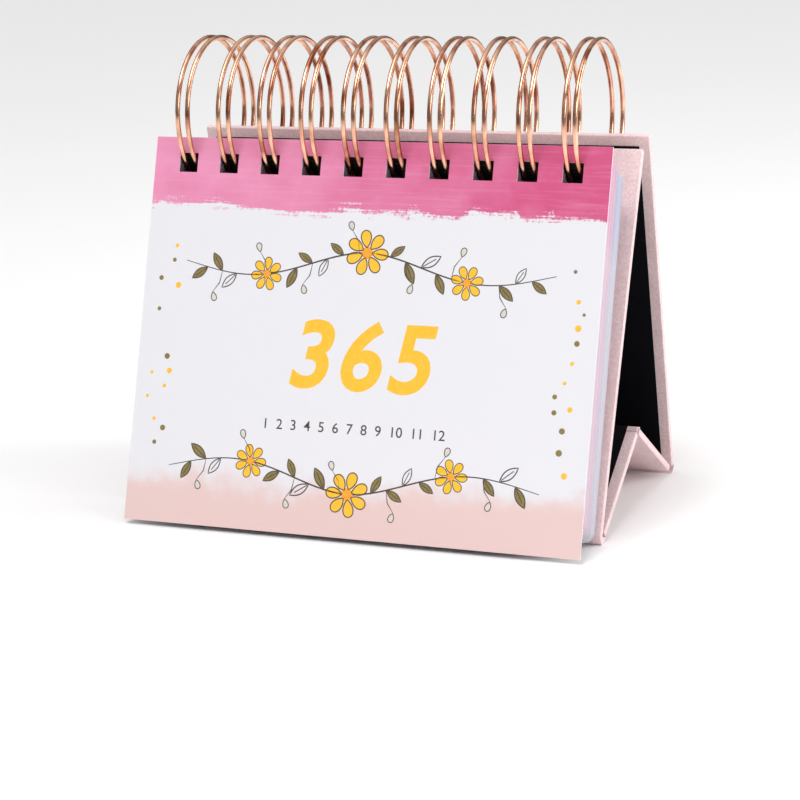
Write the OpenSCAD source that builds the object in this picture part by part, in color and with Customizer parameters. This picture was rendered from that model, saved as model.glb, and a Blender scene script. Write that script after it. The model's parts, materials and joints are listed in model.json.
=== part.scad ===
// Easel desk calendar: a card cover and a pad of month sections hang on a twin-loop wire.
// The wire is threaded through the tops of a folding easel of four paper-covered boards.
// The front of the calendar faces -Y, it stands on the plane z = 0, sizes are in millimetres.

/* [Easel] */
// Width of the four boards, covering included
panel_w = 136.5; // [132:0.5:160]
// Length of the front panel, from its fold to its top edge
front_len = 106.7; // [96:0.1:125]
// Length of the back panel, from its fold to its top edge
back_len = 102.2; // [94:0.1:118]
// Lean of the front panel from upright, in degrees
front_lean = 24.4; // [22:0.1:28]
// Lean of the back panel from upright, in degrees
back_lean = 10.5; // [8:0.1:14]
// Front base board, from its fold axis to the peak's crease
base_front_len = 39; // [37:0.1:41]
// Rear base board, from its fold axis to the peak's crease
base_rear_len = 37.8; // [36:0.1:40]
// Thickness of the greyboard
board_t = 1.5; // [1.2:0.1:2]
// Thickness of the covering paper
paper_t = 0.25; // [0.15:0.05:0.35]
// Thickness of the lining paper
lining_t = 0.2; // [0.1:0.05:0.3]
// Covering left showing round the lining
margin = 3; // [1.5:0.1:5]
// Width of the covering turned over each edge
turn_in = 12; // [8:0.5:14]
// Thickness of a fold strip
strip_t = 0.3; // [0.2:0.05:0.4]
// Depth of the flat foot pressed into the two lower folds
foot_flat = 0.12; // [0.05:0.01:0.15]

/* [Binding] */
// Mean diameter of a closed loop
ring_d = 42.6; // [40:0.1:46]
// Wire diameter
wire_d = 1.4; // [1:0.1:1.8]
// Distance from one twin loop to the next
pitch = 12.7; // [12:0.1:13]
// Distance between the two wires of a loop
pair = 3.06; // [2.6:0.02:3.4]
// Bend radius where a loop leaves the spine
bend_r = 1.3; // [1:0.1:1.8]
// Width of a punched hole
hole_w = 5.75; // [5.5:0.05:7]
// Height of a punched hole
hole_h = 5.5; // [5.3:0.05:7]
// Distance of the loops' centre in front of the front panel's inner face
ring_standoff = 13.26; // [12:0.02:14]
// Distance of the back panel's inner face behind the loops' centre
back_standoff = 12.55; // [12.3:0.05:15]
// Where the wire crosses the front panel, below its top edge
front_wire_drop = 12.26; // [9:0.02:15]

/* [Leaves] */
// How much narrower the cover is than the boards, on each side
cover_inset = 0.5; // [0:0.1:2]
// Height of the cover
cover_h = 109.2; // [98:0.1:109.5]
// Thickness of the cover's card
cover_t = 0.4; // [0.25:0.05:0.6]
// How much narrower the pages are than the cover, on each side
page_inset = 1.05; // [0:0.05:4]
// Least paper left between the outermost hole and a page's side edge
hole_edge = 4; // [3:0.1:6]
// Height of the pages
page_h = 99; // [90:0.5:100]
// Thickness of all the pages together
pad_t = 13.4; // [11:0.1:14]
// Number of month sections
months = 12; // [12:1:12]
// Radius of the pages' lower corners
page_corner_r = 3; // [1:0.5:6]
// Lean of the leaves from upright, in degrees
leaf_lean = 19; // [18:0.1:20]
// Centre of the punched holes, below a leaf's top edge
hole_drop = 7.2; // [6.5:0.1:8]

/* [Clearances] */
// Gap between neighbouring leaves
leaf_gap = 0.05; // [0.03:0.01:0.1]
// Gap between a leaf's hole and the wire that it hangs on
leaf_play = 0.3; // [0.2:0.05:0.4]
// Gap between the pad and the front panel that it leans on
lean_gap = 0.3; // [0.2:0.05:0.5]
// Gap from a board's end to the front fold's axis
front_end_gap = 1.5; // [1:0.1:2]
// Gap from a board's end to the peak's crease
peak_end_gap = 0.6; // [0.5:0.1:1]
// Gap from the rear base board's end to the rear fold's axis
rear_end_gap = 2.2; // [2.2:0.1:4]
// Gap between a fold strip and a board that swings past it
fold_play = 0.15; // [0.1:0.05:0.3]

/* [Hidden] */
$fn = 64;

COVERING = "#e3c8c9";
LINING = "#0b0c14";
GREYBOARD = "#a79c90";
COPPER = "#c98455";
CARD = "#ededf2";
PAGE_FRONT = [0.90, 0.78, 0.88];
PAGE_REAR = [0.80, 0.82, 0.87];

// Points in the section plane are [y, z] pairs, and angles turn from +Y towards +Z.
function along(a) = [cos(a), sin(a)];
function dot2(p, q) = p[0] * q[0] + p[1] * q[1];

panel_t = lining_t + board_t + 2 * paper_t;
cover_w = panel_w - 2 * cover_inset;
page_w = cover_w - 2 * page_inset;
loops = 1 + floor((page_w - hole_w - 2 * hole_edge) / pitch);
ring_r = ring_d / 2;
fold_z = panel_t - foot_flat;

// Front panel, with the fold axis on its inner face
front_up = 90 - front_lean;
ring_above_fold = front_len - front_wire_drop + sqrt(pow(ring_r, 2) - pow(ring_standoff - panel_t / 2, 2));
ring_from_fold = ring_above_fold * along(front_up) + ring_standoff * along(front_up + 90);

// Back panel, from the ring's centre down to the table
back_up = 90 + back_lean;
back_drop = (ring_from_fold[1] + back_standoff * sin(back_lean)) / cos(back_lean);
rear_from_fold = ring_from_fold + back_standoff * along(back_lean) - back_drop * along(back_up);
fold_span = rear_from_fold[0];

// Leaves, measured from the ring's centre: v runs down a leaf, u towards the back
leaf_down = 270 - leaf_lean;
section_t = pad_t / months;
function wire_tilt(u) = asin(abs(u) / ring_r);
function wire_half(u, t) = (wire_d / 2 + t / 2 * sin(wire_tilt(u))) / cos(wire_tilt(u));
function wire_v(u) = sqrt(pow(ring_r, 2) - pow(u, 2));
function hole_v(u, t) = wire_v(u) + hole_h / 2 - wire_half(u, t) - leaf_play;
pad_bottom = hole_v(0, section_t) - hole_drop + page_h;
pad_angle = front_lean - leaf_lean;
pad_rear_u = (ring_standoff - panel_t - lean_gap - pad_bottom * sin(pad_angle)) / cos(pad_angle);
function section_u(month) = pad_rear_u - section_t / 2 - (months - month) * (section_t + leaf_gap);
cover_u = section_u(1) - section_t / 2 - leaf_gap - cover_t / 2;
cover_bottom = hole_v(cover_u, cover_t) - hole_drop + cover_h;

// The origin is the middle of the footprint, on the table
reach_front = dot2(ring_from_fold + (cover_u - cover_t / 2) * along(leaf_down + 90)
    + cover_bottom * along(leaf_down), [1, 0]);
reach_back = fold_span + panel_t;
front_fold = [-(reach_front + reach_back) / 2, fold_z];
ring = front_fold + ring_from_fold;
rear_fold = front_fold + rear_from_fold;

// Base boards: an inverted V whose crease lies on the undersides
peak_y = (pow(base_front_len, 2) - pow(base_rear_len, 2) + pow(fold_span, 2)) / (2 * fold_span);
peak_rise = sqrt(pow(base_front_len, 2) - pow(peak_y, 2));
peak = front_fold + [peak_y, peak_rise];
base_front_run = sqrt(pow(base_front_len, 2) - pow(panel_t, 2));
base_rear_run = sqrt(pow(base_rear_len, 2) - pow(panel_t, 2));
base_front_up = atan2(peak_rise, peak_y) + atan2(panel_t, base_front_run);
base_rear_slope = atan2(peak_rise, fold_span - peak_y) + atan2(panel_t, base_rear_run);
base_rear_up = 180 - base_rear_slope;

// The wire's seam lies between the pad and the front panel
seam_front = 253;
seam_rear = 268;
arm_sweep = 360 + seam_front - seam_rear;

// Stands a piece on a line of the section plane: local Y runs along it, outer = 1 puts +Z outside
module on_line(point, angle, outer = 1)
    translate([0, point[0], point[1]])
        rotate([angle, 0, 0])
            mirror([0, 0, outer > 0 ? 0 : 1])
                children();

module slab(w, y0, y1, z0, z1)
    translate([-w / 2, y0, z0])
        cube([w, y1 - y0, z1 - z0]);

module hole_row(y, depth)
    for (k = [0 : loops - 1])
        translate([(k - (loops - 1) / 2) * pitch - hole_w / 2, y - hole_h / 2, -depth])
            cube([hole_w, hole_h, 2 * depth]);

// The three layers of one covered board, from its end at y0 to its end at y1
module board_core(y0, y1)
    slab(panel_w - 2 * paper_t, y0 + paper_t, y1 - paper_t, lining_t + paper_t, panel_t - paper_t);

module board_wrap(y0, y1)
    difference() {
        slab(panel_w, y0, y1, lining_t, panel_t);
        board_core(y0, y1);
        slab(panel_w - 2 * turn_in, y0 + turn_in, y1 - turn_in, 0, panel_t - 2 * paper_t);
    }

module board_lining(y0, y1, end_margin = margin) {
    slab(panel_w - 2 * margin, y0 + margin, y1 - end_margin, 0, lining_t);
    slab(panel_w - 2 * turn_in, y0 + turn_in, y1 - turn_in, 0, lining_t + paper_t);
}

module punched(y)
    difference() {
        children();
        hole_row(y, 2 * panel_t);
    }

module on_front_panel()
    on_line(front_fold, front_up)
        punched(front_len - front_wire_drop + hole_h / 2
            - wire_half(ring_standoff - panel_t / 2, panel_t) - leaf_play)
            children();

module on_back_panel()
    on_line(rear_fold, back_up, -1)
        punched(back_drop - wire_v(back_standoff + panel_t / 2))
            children();

module front_panel_board() color(GREYBOARD) on_front_panel() board_core(0, front_len);
module front_panel_wrap() color(COVERING) on_front_panel() board_wrap(0, front_len);
module front_panel_lining() color(LINING) on_front_panel() board_lining(0, front_len);

module back_panel_board() color(GREYBOARD) on_back_panel() board_core(0, back_len);
module back_panel_wrap() color(COVERING) on_back_panel() board_wrap(0, back_len);
module back_panel_lining() color(LINING) on_back_panel() board_lining(0, back_len);

base_front_start = front_end_gap;
base_front_end = base_front_run - peak_end_gap;
module on_base_front() on_line(front_fold, base_front_up, -1) children();
module base_front_board() color(GREYBOARD) on_base_front() board_core(base_front_start, base_front_end);
module base_front_wrap() color(COVERING) on_base_front() board_wrap(base_front_start, base_front_end);
// The lining of the base runs right up to the peak, where the peak strip carries it over the crease
module base_front_lining() color(LINING) on_base_front() board_lining(base_front_start, base_front_end, 0);

base_rear_start = rear_end_gap;
// The rear strip ends under the fold, so that the base board's end swings past it
rear_strip_from = 254;
base_rear_end = base_rear_run - peak_end_gap;
module on_base_rear() on_line(rear_fold, base_rear_up) children();
module base_rear_board() color(GREYBOARD) on_base_rear() board_core(base_rear_start, base_rear_end);
module base_rear_wrap() color(COVERING) on_base_rear() board_wrap(base_rear_start, base_rear_end);
module base_rear_lining() color(LINING) on_base_rear() board_lining(base_rear_start, base_rear_end, 0);

// A strip of paper bent round a fold axis, with a straight tab at each end; it bends by less than 180
module strip_bend(r, from, to, tab_from, tab_to) {
    circle(r = r);
    if (tab_from > 0)
        rotate(from)
            translate([0, -tab_from])
                square([r, tab_from]);
    if (tab_to > 0)
        rotate(to)
            square([r, tab_to]);
}

module strip_profile(from, to, tab_from, tab_to, floor_y)
    difference() {
        strip_bend(panel_t, from, to, tab_from, tab_to);
        strip_bend(panel_t - strip_t, from, to, 2 * tab_from, 2 * tab_to);
        rotate(from)
            translate([-4 * panel_t, -8 * panel_t - tab_from])
                square(8 * panel_t);
        rotate(to)
            translate([-4 * panel_t, tab_to])
                square(8 * panel_t);
        translate([-4 * panel_t, -floor_y - 8 * panel_t])
            square(8 * panel_t);
    }

module fold_strip(axis, from, to, tab_from, tab_to, floor_y)
    translate([0, axis[0], axis[1]])
        rotate([90, 0, 90])
            translate([0, 0, -panel_w / 2])
                linear_extrude(panel_w)
                    strip_profile(from, to, tab_from, tab_to, floor_y);

module front_fold_hinge()
    color(COVERING)
        fold_strip(front_fold, front_up + 90, base_front_up + 270, 0, front_end_gap - fold_play, fold_z);

module peak_fold_hinge()
    color(LINING)
        fold_strip(peak, 90 - base_rear_slope, base_front_up + 90, peak_end_gap - fold_play, peak_end_gap,
            2 * panel_t);

module rear_fold_hinge()
    color(COVERING)
        fold_strip(rear_fold, rear_strip_from, back_lean + 360, 0, 0, fold_z);

// The twin-loop wire: one length bent into hairpin loops that close against their own spine.
// A station is [x, angle round the loop, offset along the loop, heading]; heading 90 runs along +X.
function spine_bend(side, steps, skip) = [for (i = [skip : steps]) let (q = 90 * i / steps)
    side < 0
        ? [-pair / 2 - bend_r + bend_r * sin(q), seam_rear, -bend_r * cos(q), 90 - q]
        : [pair / 2 + bend_r - bend_r * cos(q), seam_rear, -bend_r * sin(q), 180 - q]];
function arm(side, steps) = [for (i = [1 : steps - 1]) let (q = arm_sweep * i / steps)
    side < 0 ? [-pair / 2, seam_rear + q, 0, 0] : [pair / 2, seam_front - q, 0, 180]];
function hairpin(steps) = [for (i = [0 : steps]) let (q = 180 * i / steps)
    [-pair / 2 * cos(q), seam_front, pair / 2 * sin(q), q]];
function spine_bar(x0, x1, steps) = [for (i = [1 : 1 : steps - 1])
    [x0 + (x1 - x0) * i / steps, seam_rear, -bend_r, 90]];
function loop_stations(arm_n, bend_n, pin_n, bar_n) = concat(
    spine_bar(-pitch / 2, -pair / 2 - bend_r, bar_n), spine_bend(-1, bend_n, 0), arm(-1, arm_n),
    hairpin(pin_n), arm(1, arm_n), spine_bend(1, bend_n, 0), spine_bar(pair / 2 + bend_r, pitch / 2, bar_n));

function radial(s) = [0, cos(s[1]), sin(s[1])];
function tangent(s) = [0, -sin(s[1]), cos(s[1])];
function centre_at(s, x) = [s[0] + x, 0, 0] + ring_r * radial(s) + s[2] * tangent(s);
function section_at(s, x) = [for (j = [0 : wire_sides - 1]) let (q = 360 * j / wire_sides)
    centre_at(s, x) + wire_d / 2 * (cos(q) * radial(s)
        + sin(q) * (sin(s[3]) * tangent(s) - cos(s[3]) * [1, 0, 0]))];
function loop_x(k) = (k - (loops - 1) / 2) * pitch;

wire_sides = 6;
stations = loop_stations(24, 4, 6, 1);
cut_end = [[-pitch / 2, seam_rear, -bend_r, 90], [pitch / 2, seam_rear, -bend_r, 90]];
sections = concat(
    [section_at(cut_end[0], loop_x(0))],
    [for (k = [0 : loops - 1]) for (s = stations) section_at(s, loop_x(k))],
    [section_at(cut_end[1], loop_x(loops - 1))]);
wire_points = [for (ring_of_points = sections) for (p = ring_of_points) p];
last = len(sections) - 1;
function corner(i, j) = i * wire_sides + j % wire_sides;
wire_faces = concat(
    [[for (j = [0 : wire_sides - 1]) corner(0, j)]],
    [for (i = [0 : last - 1]) for (j = [0 : wire_sides - 1]) [corner(i, j), corner(i + 1, j), corner(i + 1, j + 1)]],
    [for (i = [0 : last - 1]) for (j = [0 : wire_sides - 1]) [corner(i, j), corner(i + 1, j + 1), corner(i, j + 1)]],
    [[for (j = [wire_sides - 1 : -1 : 0]) corner(last, j)]]);

module twin_loop_wire()
    color(COPPER)
        translate([0, ring[0], ring[1]])
            polyhedron(wire_points, wire_faces, convexity = 10);

// Least gap between stretches of the wire that are not the same bend, over two neighbouring loops
fine = loop_stations(72, 9, 18, 6);
line = [for (k = [0, 1]) for (s = fine) centre_at(s, loop_x(k))];
same_bend = 12;
least_gap = min([for (i = [0 : len(fine) - 1]) for (j = [i + same_bend : 1 : len(line) - 1])
    norm(line[i] - line[j])]) - wire_d;

// A leaf's outline, with its lower corners rounded where a radius is given
module leaf_outline(w, h, corner) {
    translate([-w / 2, 0])
        square([w, h - corner]);
    if (corner > 0) {
        translate([-w / 2 + corner, h - corner])
            square([w - 2 * corner, corner]);
        for (side = [-1, 1])
            translate([side * (w / 2 - corner), h - corner])
                circle(r = corner);
    }
}

module leaf(w, h, t, u, corner)
    on_line(ring, leaf_down)
        translate([0, hole_v(u, t) - hole_drop, u - t / 2])
            difference() {
                linear_extrude(t)
                    leaf_outline(w, h, corner);
                hole_row(hole_drop, 2 * t);
            }

module front_cover() color(CARD) leaf(cover_w, cover_h, cover_t, cover_u, 0);

module month_leaves(month)
    color(PAGE_FRONT + (PAGE_REAR - PAGE_FRONT) * (month - 1) / (months - 1))
        leaf(page_w, page_h, section_t, section_u(month), page_corner_r);

echo(least_wire_gap = least_gap);
echo(ring = ring, front_fold = front_fold, rear_fold = rear_fold, peak = peak);
echo(base_front_up = base_front_up, base_rear_up = base_rear_up, pad_rear_u = pad_rear_u, cover_u = cover_u);

front_panel_board();
front_panel_wrap();
front_panel_lining();
back_panel_board();
back_panel_wrap();
back_panel_lining();
base_front_board();
base_front_wrap();
base_front_lining();
base_rear_board();
base_rear_wrap();
base_rear_lining();
front_fold_hinge();
peak_fold_hinge();
rear_fold_hinge();
twin_loop_wire();
front_cover();
month_leaves(1);  // month_01_leaves
month_leaves(2);  // month_02_leaves
month_leaves(3);  // month_03_leaves
month_leaves(4);  // month_04_leaves
month_leaves(5);  // month_05_leaves
month_leaves(6);  // month_06_leaves
month_leaves(7);  // month_07_leaves
month_leaves(8);  // month_08_leaves
month_leaves(9);  // month_09_leaves
month_leaves(10);  // month_10_leaves
month_leaves(11);  // month_11_leaves
month_leaves(12);  // month_12_leaves
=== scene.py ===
"""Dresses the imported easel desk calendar: covered boards, copper loops, a pad of leaves and a printed cover.

Sizes are written in millimetres and every mesh ends up in metres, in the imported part's own frame.
"""

from __future__ import annotations

import calendar
import json
import logging
import math
import random
from dataclasses import dataclass, field
from enum import Enum, auto
from typing import Any, Iterable, Sequence

import bmesh
import bpy
from mathutils import Matrix, Vector
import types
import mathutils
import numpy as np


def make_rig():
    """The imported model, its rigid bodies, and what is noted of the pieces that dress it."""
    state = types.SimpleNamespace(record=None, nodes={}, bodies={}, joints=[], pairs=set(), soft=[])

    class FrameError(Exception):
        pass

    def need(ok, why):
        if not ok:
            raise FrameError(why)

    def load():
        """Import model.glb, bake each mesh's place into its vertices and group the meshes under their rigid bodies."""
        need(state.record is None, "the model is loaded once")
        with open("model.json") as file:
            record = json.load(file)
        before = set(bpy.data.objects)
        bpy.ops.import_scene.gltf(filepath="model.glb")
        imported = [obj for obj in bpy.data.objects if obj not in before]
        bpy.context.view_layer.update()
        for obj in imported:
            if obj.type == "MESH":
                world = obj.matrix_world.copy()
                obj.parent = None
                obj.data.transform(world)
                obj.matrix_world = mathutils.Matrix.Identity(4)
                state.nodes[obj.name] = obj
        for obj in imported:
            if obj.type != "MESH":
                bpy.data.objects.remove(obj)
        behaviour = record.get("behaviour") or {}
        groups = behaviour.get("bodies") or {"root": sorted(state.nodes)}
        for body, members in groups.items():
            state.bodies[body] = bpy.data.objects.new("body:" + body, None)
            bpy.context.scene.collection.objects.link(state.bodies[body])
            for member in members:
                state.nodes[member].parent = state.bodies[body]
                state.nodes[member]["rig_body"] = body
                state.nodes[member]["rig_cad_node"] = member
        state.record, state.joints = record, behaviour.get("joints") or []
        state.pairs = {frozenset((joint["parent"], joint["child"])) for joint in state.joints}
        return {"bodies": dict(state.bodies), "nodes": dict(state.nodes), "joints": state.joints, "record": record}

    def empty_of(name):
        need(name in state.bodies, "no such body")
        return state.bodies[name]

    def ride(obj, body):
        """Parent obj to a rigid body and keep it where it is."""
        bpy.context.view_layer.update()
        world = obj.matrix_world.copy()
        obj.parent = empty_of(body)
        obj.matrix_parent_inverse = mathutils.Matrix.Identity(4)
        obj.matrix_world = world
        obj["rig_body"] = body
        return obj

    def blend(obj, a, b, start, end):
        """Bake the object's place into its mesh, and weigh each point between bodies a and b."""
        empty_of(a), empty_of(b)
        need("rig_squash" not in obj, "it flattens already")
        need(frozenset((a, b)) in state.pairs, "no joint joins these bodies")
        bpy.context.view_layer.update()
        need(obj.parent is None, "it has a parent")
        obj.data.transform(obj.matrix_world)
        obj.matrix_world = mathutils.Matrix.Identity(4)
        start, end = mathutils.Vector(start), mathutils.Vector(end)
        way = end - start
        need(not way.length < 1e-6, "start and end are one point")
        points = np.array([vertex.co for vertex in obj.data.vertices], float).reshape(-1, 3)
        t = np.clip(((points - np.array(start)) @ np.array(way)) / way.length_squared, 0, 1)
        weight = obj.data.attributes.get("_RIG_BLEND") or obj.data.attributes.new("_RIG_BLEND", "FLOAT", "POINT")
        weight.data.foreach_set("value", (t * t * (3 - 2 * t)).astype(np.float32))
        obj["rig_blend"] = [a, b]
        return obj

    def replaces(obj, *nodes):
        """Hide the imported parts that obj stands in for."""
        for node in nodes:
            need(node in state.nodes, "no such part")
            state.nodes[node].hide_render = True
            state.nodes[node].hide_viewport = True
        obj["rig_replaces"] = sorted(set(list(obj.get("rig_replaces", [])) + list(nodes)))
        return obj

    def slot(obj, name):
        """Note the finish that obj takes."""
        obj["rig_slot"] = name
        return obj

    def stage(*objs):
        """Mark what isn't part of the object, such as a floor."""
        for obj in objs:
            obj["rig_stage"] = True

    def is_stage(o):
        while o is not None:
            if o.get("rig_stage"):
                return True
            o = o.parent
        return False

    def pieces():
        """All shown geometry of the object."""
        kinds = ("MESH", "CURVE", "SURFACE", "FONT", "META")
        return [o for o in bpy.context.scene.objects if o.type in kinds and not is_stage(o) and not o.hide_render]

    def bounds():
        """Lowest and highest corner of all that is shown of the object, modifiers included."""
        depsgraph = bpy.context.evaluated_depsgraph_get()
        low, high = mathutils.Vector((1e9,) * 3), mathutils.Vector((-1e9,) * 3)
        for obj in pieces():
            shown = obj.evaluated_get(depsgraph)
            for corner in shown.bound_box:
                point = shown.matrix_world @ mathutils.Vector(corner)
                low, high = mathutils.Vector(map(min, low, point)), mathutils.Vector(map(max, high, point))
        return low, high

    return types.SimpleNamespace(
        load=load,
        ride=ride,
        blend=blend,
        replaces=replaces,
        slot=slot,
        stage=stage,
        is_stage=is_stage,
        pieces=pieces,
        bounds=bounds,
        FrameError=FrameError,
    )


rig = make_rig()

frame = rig.load()
CAD_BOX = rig.bounds()

log = logging.getLogger("calendar")

Tree = bpy.types.NodeTree
Socket = bpy.types.NodeSocket
Material = bpy.types.Material
Mesh = bpy.types.Mesh
Piece = bpy.types.Object
Sheet = bmesh.types.BMesh
Point = tuple[float, float]
Place = tuple[float, float, float]

MM = 0.001
SIZE_FILE = "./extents.json"

# Places on a sheet that are nearer than this, in millimetres, are the same
HAIR = 1e-4

# Corners of a sheet that agree to this many places are one vertex
KEY_DIGITS = 5

# A face whose normal has more than this along Z is one of a sheet's two sides
FLAT = 0.5

# Faces that meet at more than this, in radians, have an edge to round
EDGE_ANGLE = 0.7

# Material indices on a punched sheet
OUTSIDE, HOLE, SIDE = 0, 1, 2

# Sockets of a Mix node that mixes two colours
SHARE, UNDER, OVER, MIXED = 0, 6, 7, 2


# Helpers for colours, nodes and meshes


def linear(hex_colour: str) -> tuple[float, ...]:
    """Turns an sRGB hex value into the linear colour that a socket takes.

    Args:
        hex_colour: Six hex digits after a hash sign.

    Returns:
        Linear red, green and blue, with an alpha of one.
    """
    parts = [int(hex_colour[i : i + 2], 16) / 255 for i in (1, 3, 5)]
    bent = [c / 12.92 if c <= 0.04045 else ((c + 0.055) / 1.055) ** 2.4 for c in parts]
    return (*bent, 1.0)


def per(size_mm: float) -> float:
    """Gives the texture scale whose features are about size_mm wide on Object coordinates."""
    return 1.0 / (size_mm * MM)


def add_node(tree: Tree, kind: str, inputs: dict[Any, Any], **settings: Any) -> bpy.types.NodeOutputs:
    """Adds one node, sets its properties and fills its inputs with values, colours or links.

    Args:
        tree: The node tree that gets the node.
        kind: Blender's name of the node type.
        inputs: Input name or index to a value, to a hex colour or to the socket that feeds it.
        **settings: Properties of the node itself.

    Returns:
        The new node's outputs.
    """
    node = tree.nodes.new(kind)
    for name, value in settings.items():
        setattr(node, name, value)
    for key, value in inputs.items():
        if isinstance(value, Socket):
            tree.links.new(value, node.inputs[key])
        elif isinstance(value, str) and value.startswith("#"):
            node.inputs[key].default_value = linear(value)
        else:
            node.inputs[key].default_value = value
    return node.outputs


def start_tree(name: str, inputs: dict[str, str], result: str) -> tuple[Tree, bpy.types.NodeOutputs]:
    """Starts a geometry tree with named inputs and one result.

    Args:
        name: Name of the tree.
        inputs: Input name to the kind of its socket.
        result: Name of the result.

    Returns:
        The tree, and the sockets that give its inputs.
    """
    tree = bpy.data.node_groups.new(name, "GeometryNodeTree")
    for label, kind in inputs.items():
        tree.interface.new_socket(label, in_out="INPUT", socket_type=f"NodeSocket{kind}")
    tree.interface.new_socket(result, in_out="OUTPUT", socket_type="NodeSocketGeometry")
    return tree, add_node(tree, "NodeGroupInput", {})


def end_tree(tree: Tree, shape: Socket, finishes: Sequence[tuple[Socket | bool, Socket]]) -> None:
    """Ends a geometry tree: makes its copies real and gives them their finishes.

    Args:
        tree: The tree.
        shape: What the tree has made so far.
        finishes: Pairs of the faces that are chosen and the finish that they get.
    """
    shape = add_node(tree, "GeometryNodeRealizeInstances", {0: shape})[0]
    for faces, finish in finishes:
        dressing = {"Geometry": shape, "Selection": faces, "Material": finish}
        shape = add_node(tree, "GeometryNodeSetMaterial", dressing)[0]
    add_node(tree, "NodeGroupOutput", {0: shape})


def along(angle: float) -> Vector:
    """Unit vector of the section plane at an angle in degrees from +Y towards +Z."""
    return Vector((0.0, math.cos(math.radians(angle)), math.sin(math.radians(angle))))


def axes_matrix(axes: Iterable[Sequence[float]], origin: Vector) -> Matrix:
    """Frame with three given axes at a given place.

    Args:
        axes: Where local X, Y and Z point, with their scale.
        origin: Where the local origin goes.

    Returns:
        The frame's matrix.
    """
    matrix = Matrix(list(axes)).transposed().to_4x4()
    matrix.translation = origin
    return matrix


def line_matrix(origin: Vector, angle: float, outer: int = 1) -> Matrix:
    """Frame of a piece that stands on a line of the section plane.

    Args:
        origin: A point of the line, in metres.
        angle: Direction of the line in degrees; local Y runs along it.
        outer: 1 where local +Z points to the left of the line, -1 where it points to the right.

    Returns:
        The matrix that takes local millimetres to metres.
    """
    axes = (Vector((1.0, 0.0, 0.0)), along(angle), along(angle + 90) * outer)
    return axes_matrix(([part * MM for part in axis] for axis in axes), origin)


def add_object(name: str, data: bpy.types.ID, materials: Iterable[Material] = ()) -> Piece:
    """Puts a mesh, curve, lamp or camera into the scene at the origin.

    Args:
        name: Name of the object and of its data.
        data: Its data; a mesh is already in place.
        materials: Materials in the order of the faces' indices.

    Returns:
        The new object.
    """
    data.name = name
    for material in materials:
        data.materials.append(material)
    piece = bpy.data.objects.new(name, data)
    bpy.context.scene.collection.objects.link(piece)
    return piece


def mesh_of(bm: Sheet, matrix: Matrix | None = None, smooth_below: float | None = None) -> Mesh:
    """Ends a bmesh: moves it into place, turns its faces outwards and frees it.

    Args:
        bm: The mesh that was built.
        matrix: Where it goes, if it isn't there yet.
        smooth_below: Angle in degrees below which its faces run on smoothly, if they do.

    Returns:
        The finished mesh.
    """
    if matrix is not None:
        bmesh.ops.transform(bm, matrix=matrix, verts=bm.verts)
    bmesh.ops.recalc_face_normals(bm, faces=bm.faces)
    mesh = bpy.data.meshes.new("piece")
    bm.to_mesh(mesh)
    bm.free()
    if smooth_below is not None:
        mesh.shade_smooth()
        mesh.set_sharp_from_angle(angle=math.radians(smooth_below))
    return mesh


def settled(piece: Piece) -> Mesh:
    """Gives the plain mesh that an object's curve or modifiers make.

    Args:
        piece: The object, with its curve or its modifiers still live.

    Returns:
        The mesh.
    """
    graph = bpy.context.evaluated_depsgraph_get()
    return bpy.data.meshes.new_from_object(
        piece.evaluated_get(graph), preserve_all_data_layers=True, depsgraph=graph
    )


def grow(piece: Piece, tree: Tree, values: dict[str, Any]) -> None:
    """Runs a geometry tree on an object and keeps the result as its plain mesh.

    Args:
        piece: The object whose geometry the tree starts from.
        tree: The tree.
        values: Input name to value.
    """
    modifier = piece.modifiers.new(tree.name, "NODES")
    modifier.node_group = tree
    for item in tree.interface.items_tree:
        if item.item_type == "SOCKET" and item.in_out == "INPUT" and item.name in values:
            modifier[item.identifier] = values[item.name]
    mesh = settled(piece)
    piece.modifiers.clear()
    piece.data = mesh
    mesh.name = piece.name


def hand_over(piece: Piece, body: str, slot: str, *nodes: str) -> Piece:
    """Hands a finished piece to the body that it moves with.

    Args:
        piece: The piece.
        body: The body.
        slot: The piece's material slot.
        *nodes: The solids that it stands for.

    Returns:
        The same piece.
    """
    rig.ride(piece, body)
    if nodes:
        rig.replaces(piece, *nodes)
    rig.slot(piece, slot)
    return piece


# Finishes. Fibres, drawing marks and ink blotches are drawn as coarse as the render needs to show them


class Finish:
    """A surface finish that becomes one material the first time it is used."""

    name: str

    def material(self) -> Material:
        """Gives the finish's material, and makes it if it isn't there yet.

        Returns:
            The material.
        """
        made = bpy.data.materials.get(self.name)
        if made is None:
            made = bpy.data.materials.new(self.name)
            made.use_nodes = True
            tree = made.node_tree
            tree.nodes.clear()
            surface = add_node(tree, "ShaderNodeBsdfPrincipled", self.paint(tree))["BSDF"]
            add_node(tree, "ShaderNodeOutputMaterial", {"Surface": surface})
        return made

    def paint(self, tree: Tree) -> dict[str, Any]:
        """Adds the finish's own nodes; each finish has its own.

        Args:
            tree: The material's tree.

        Returns:
            Shader input to a value, or to the socket that feeds it.
        """
        raise NotImplementedError


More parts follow.
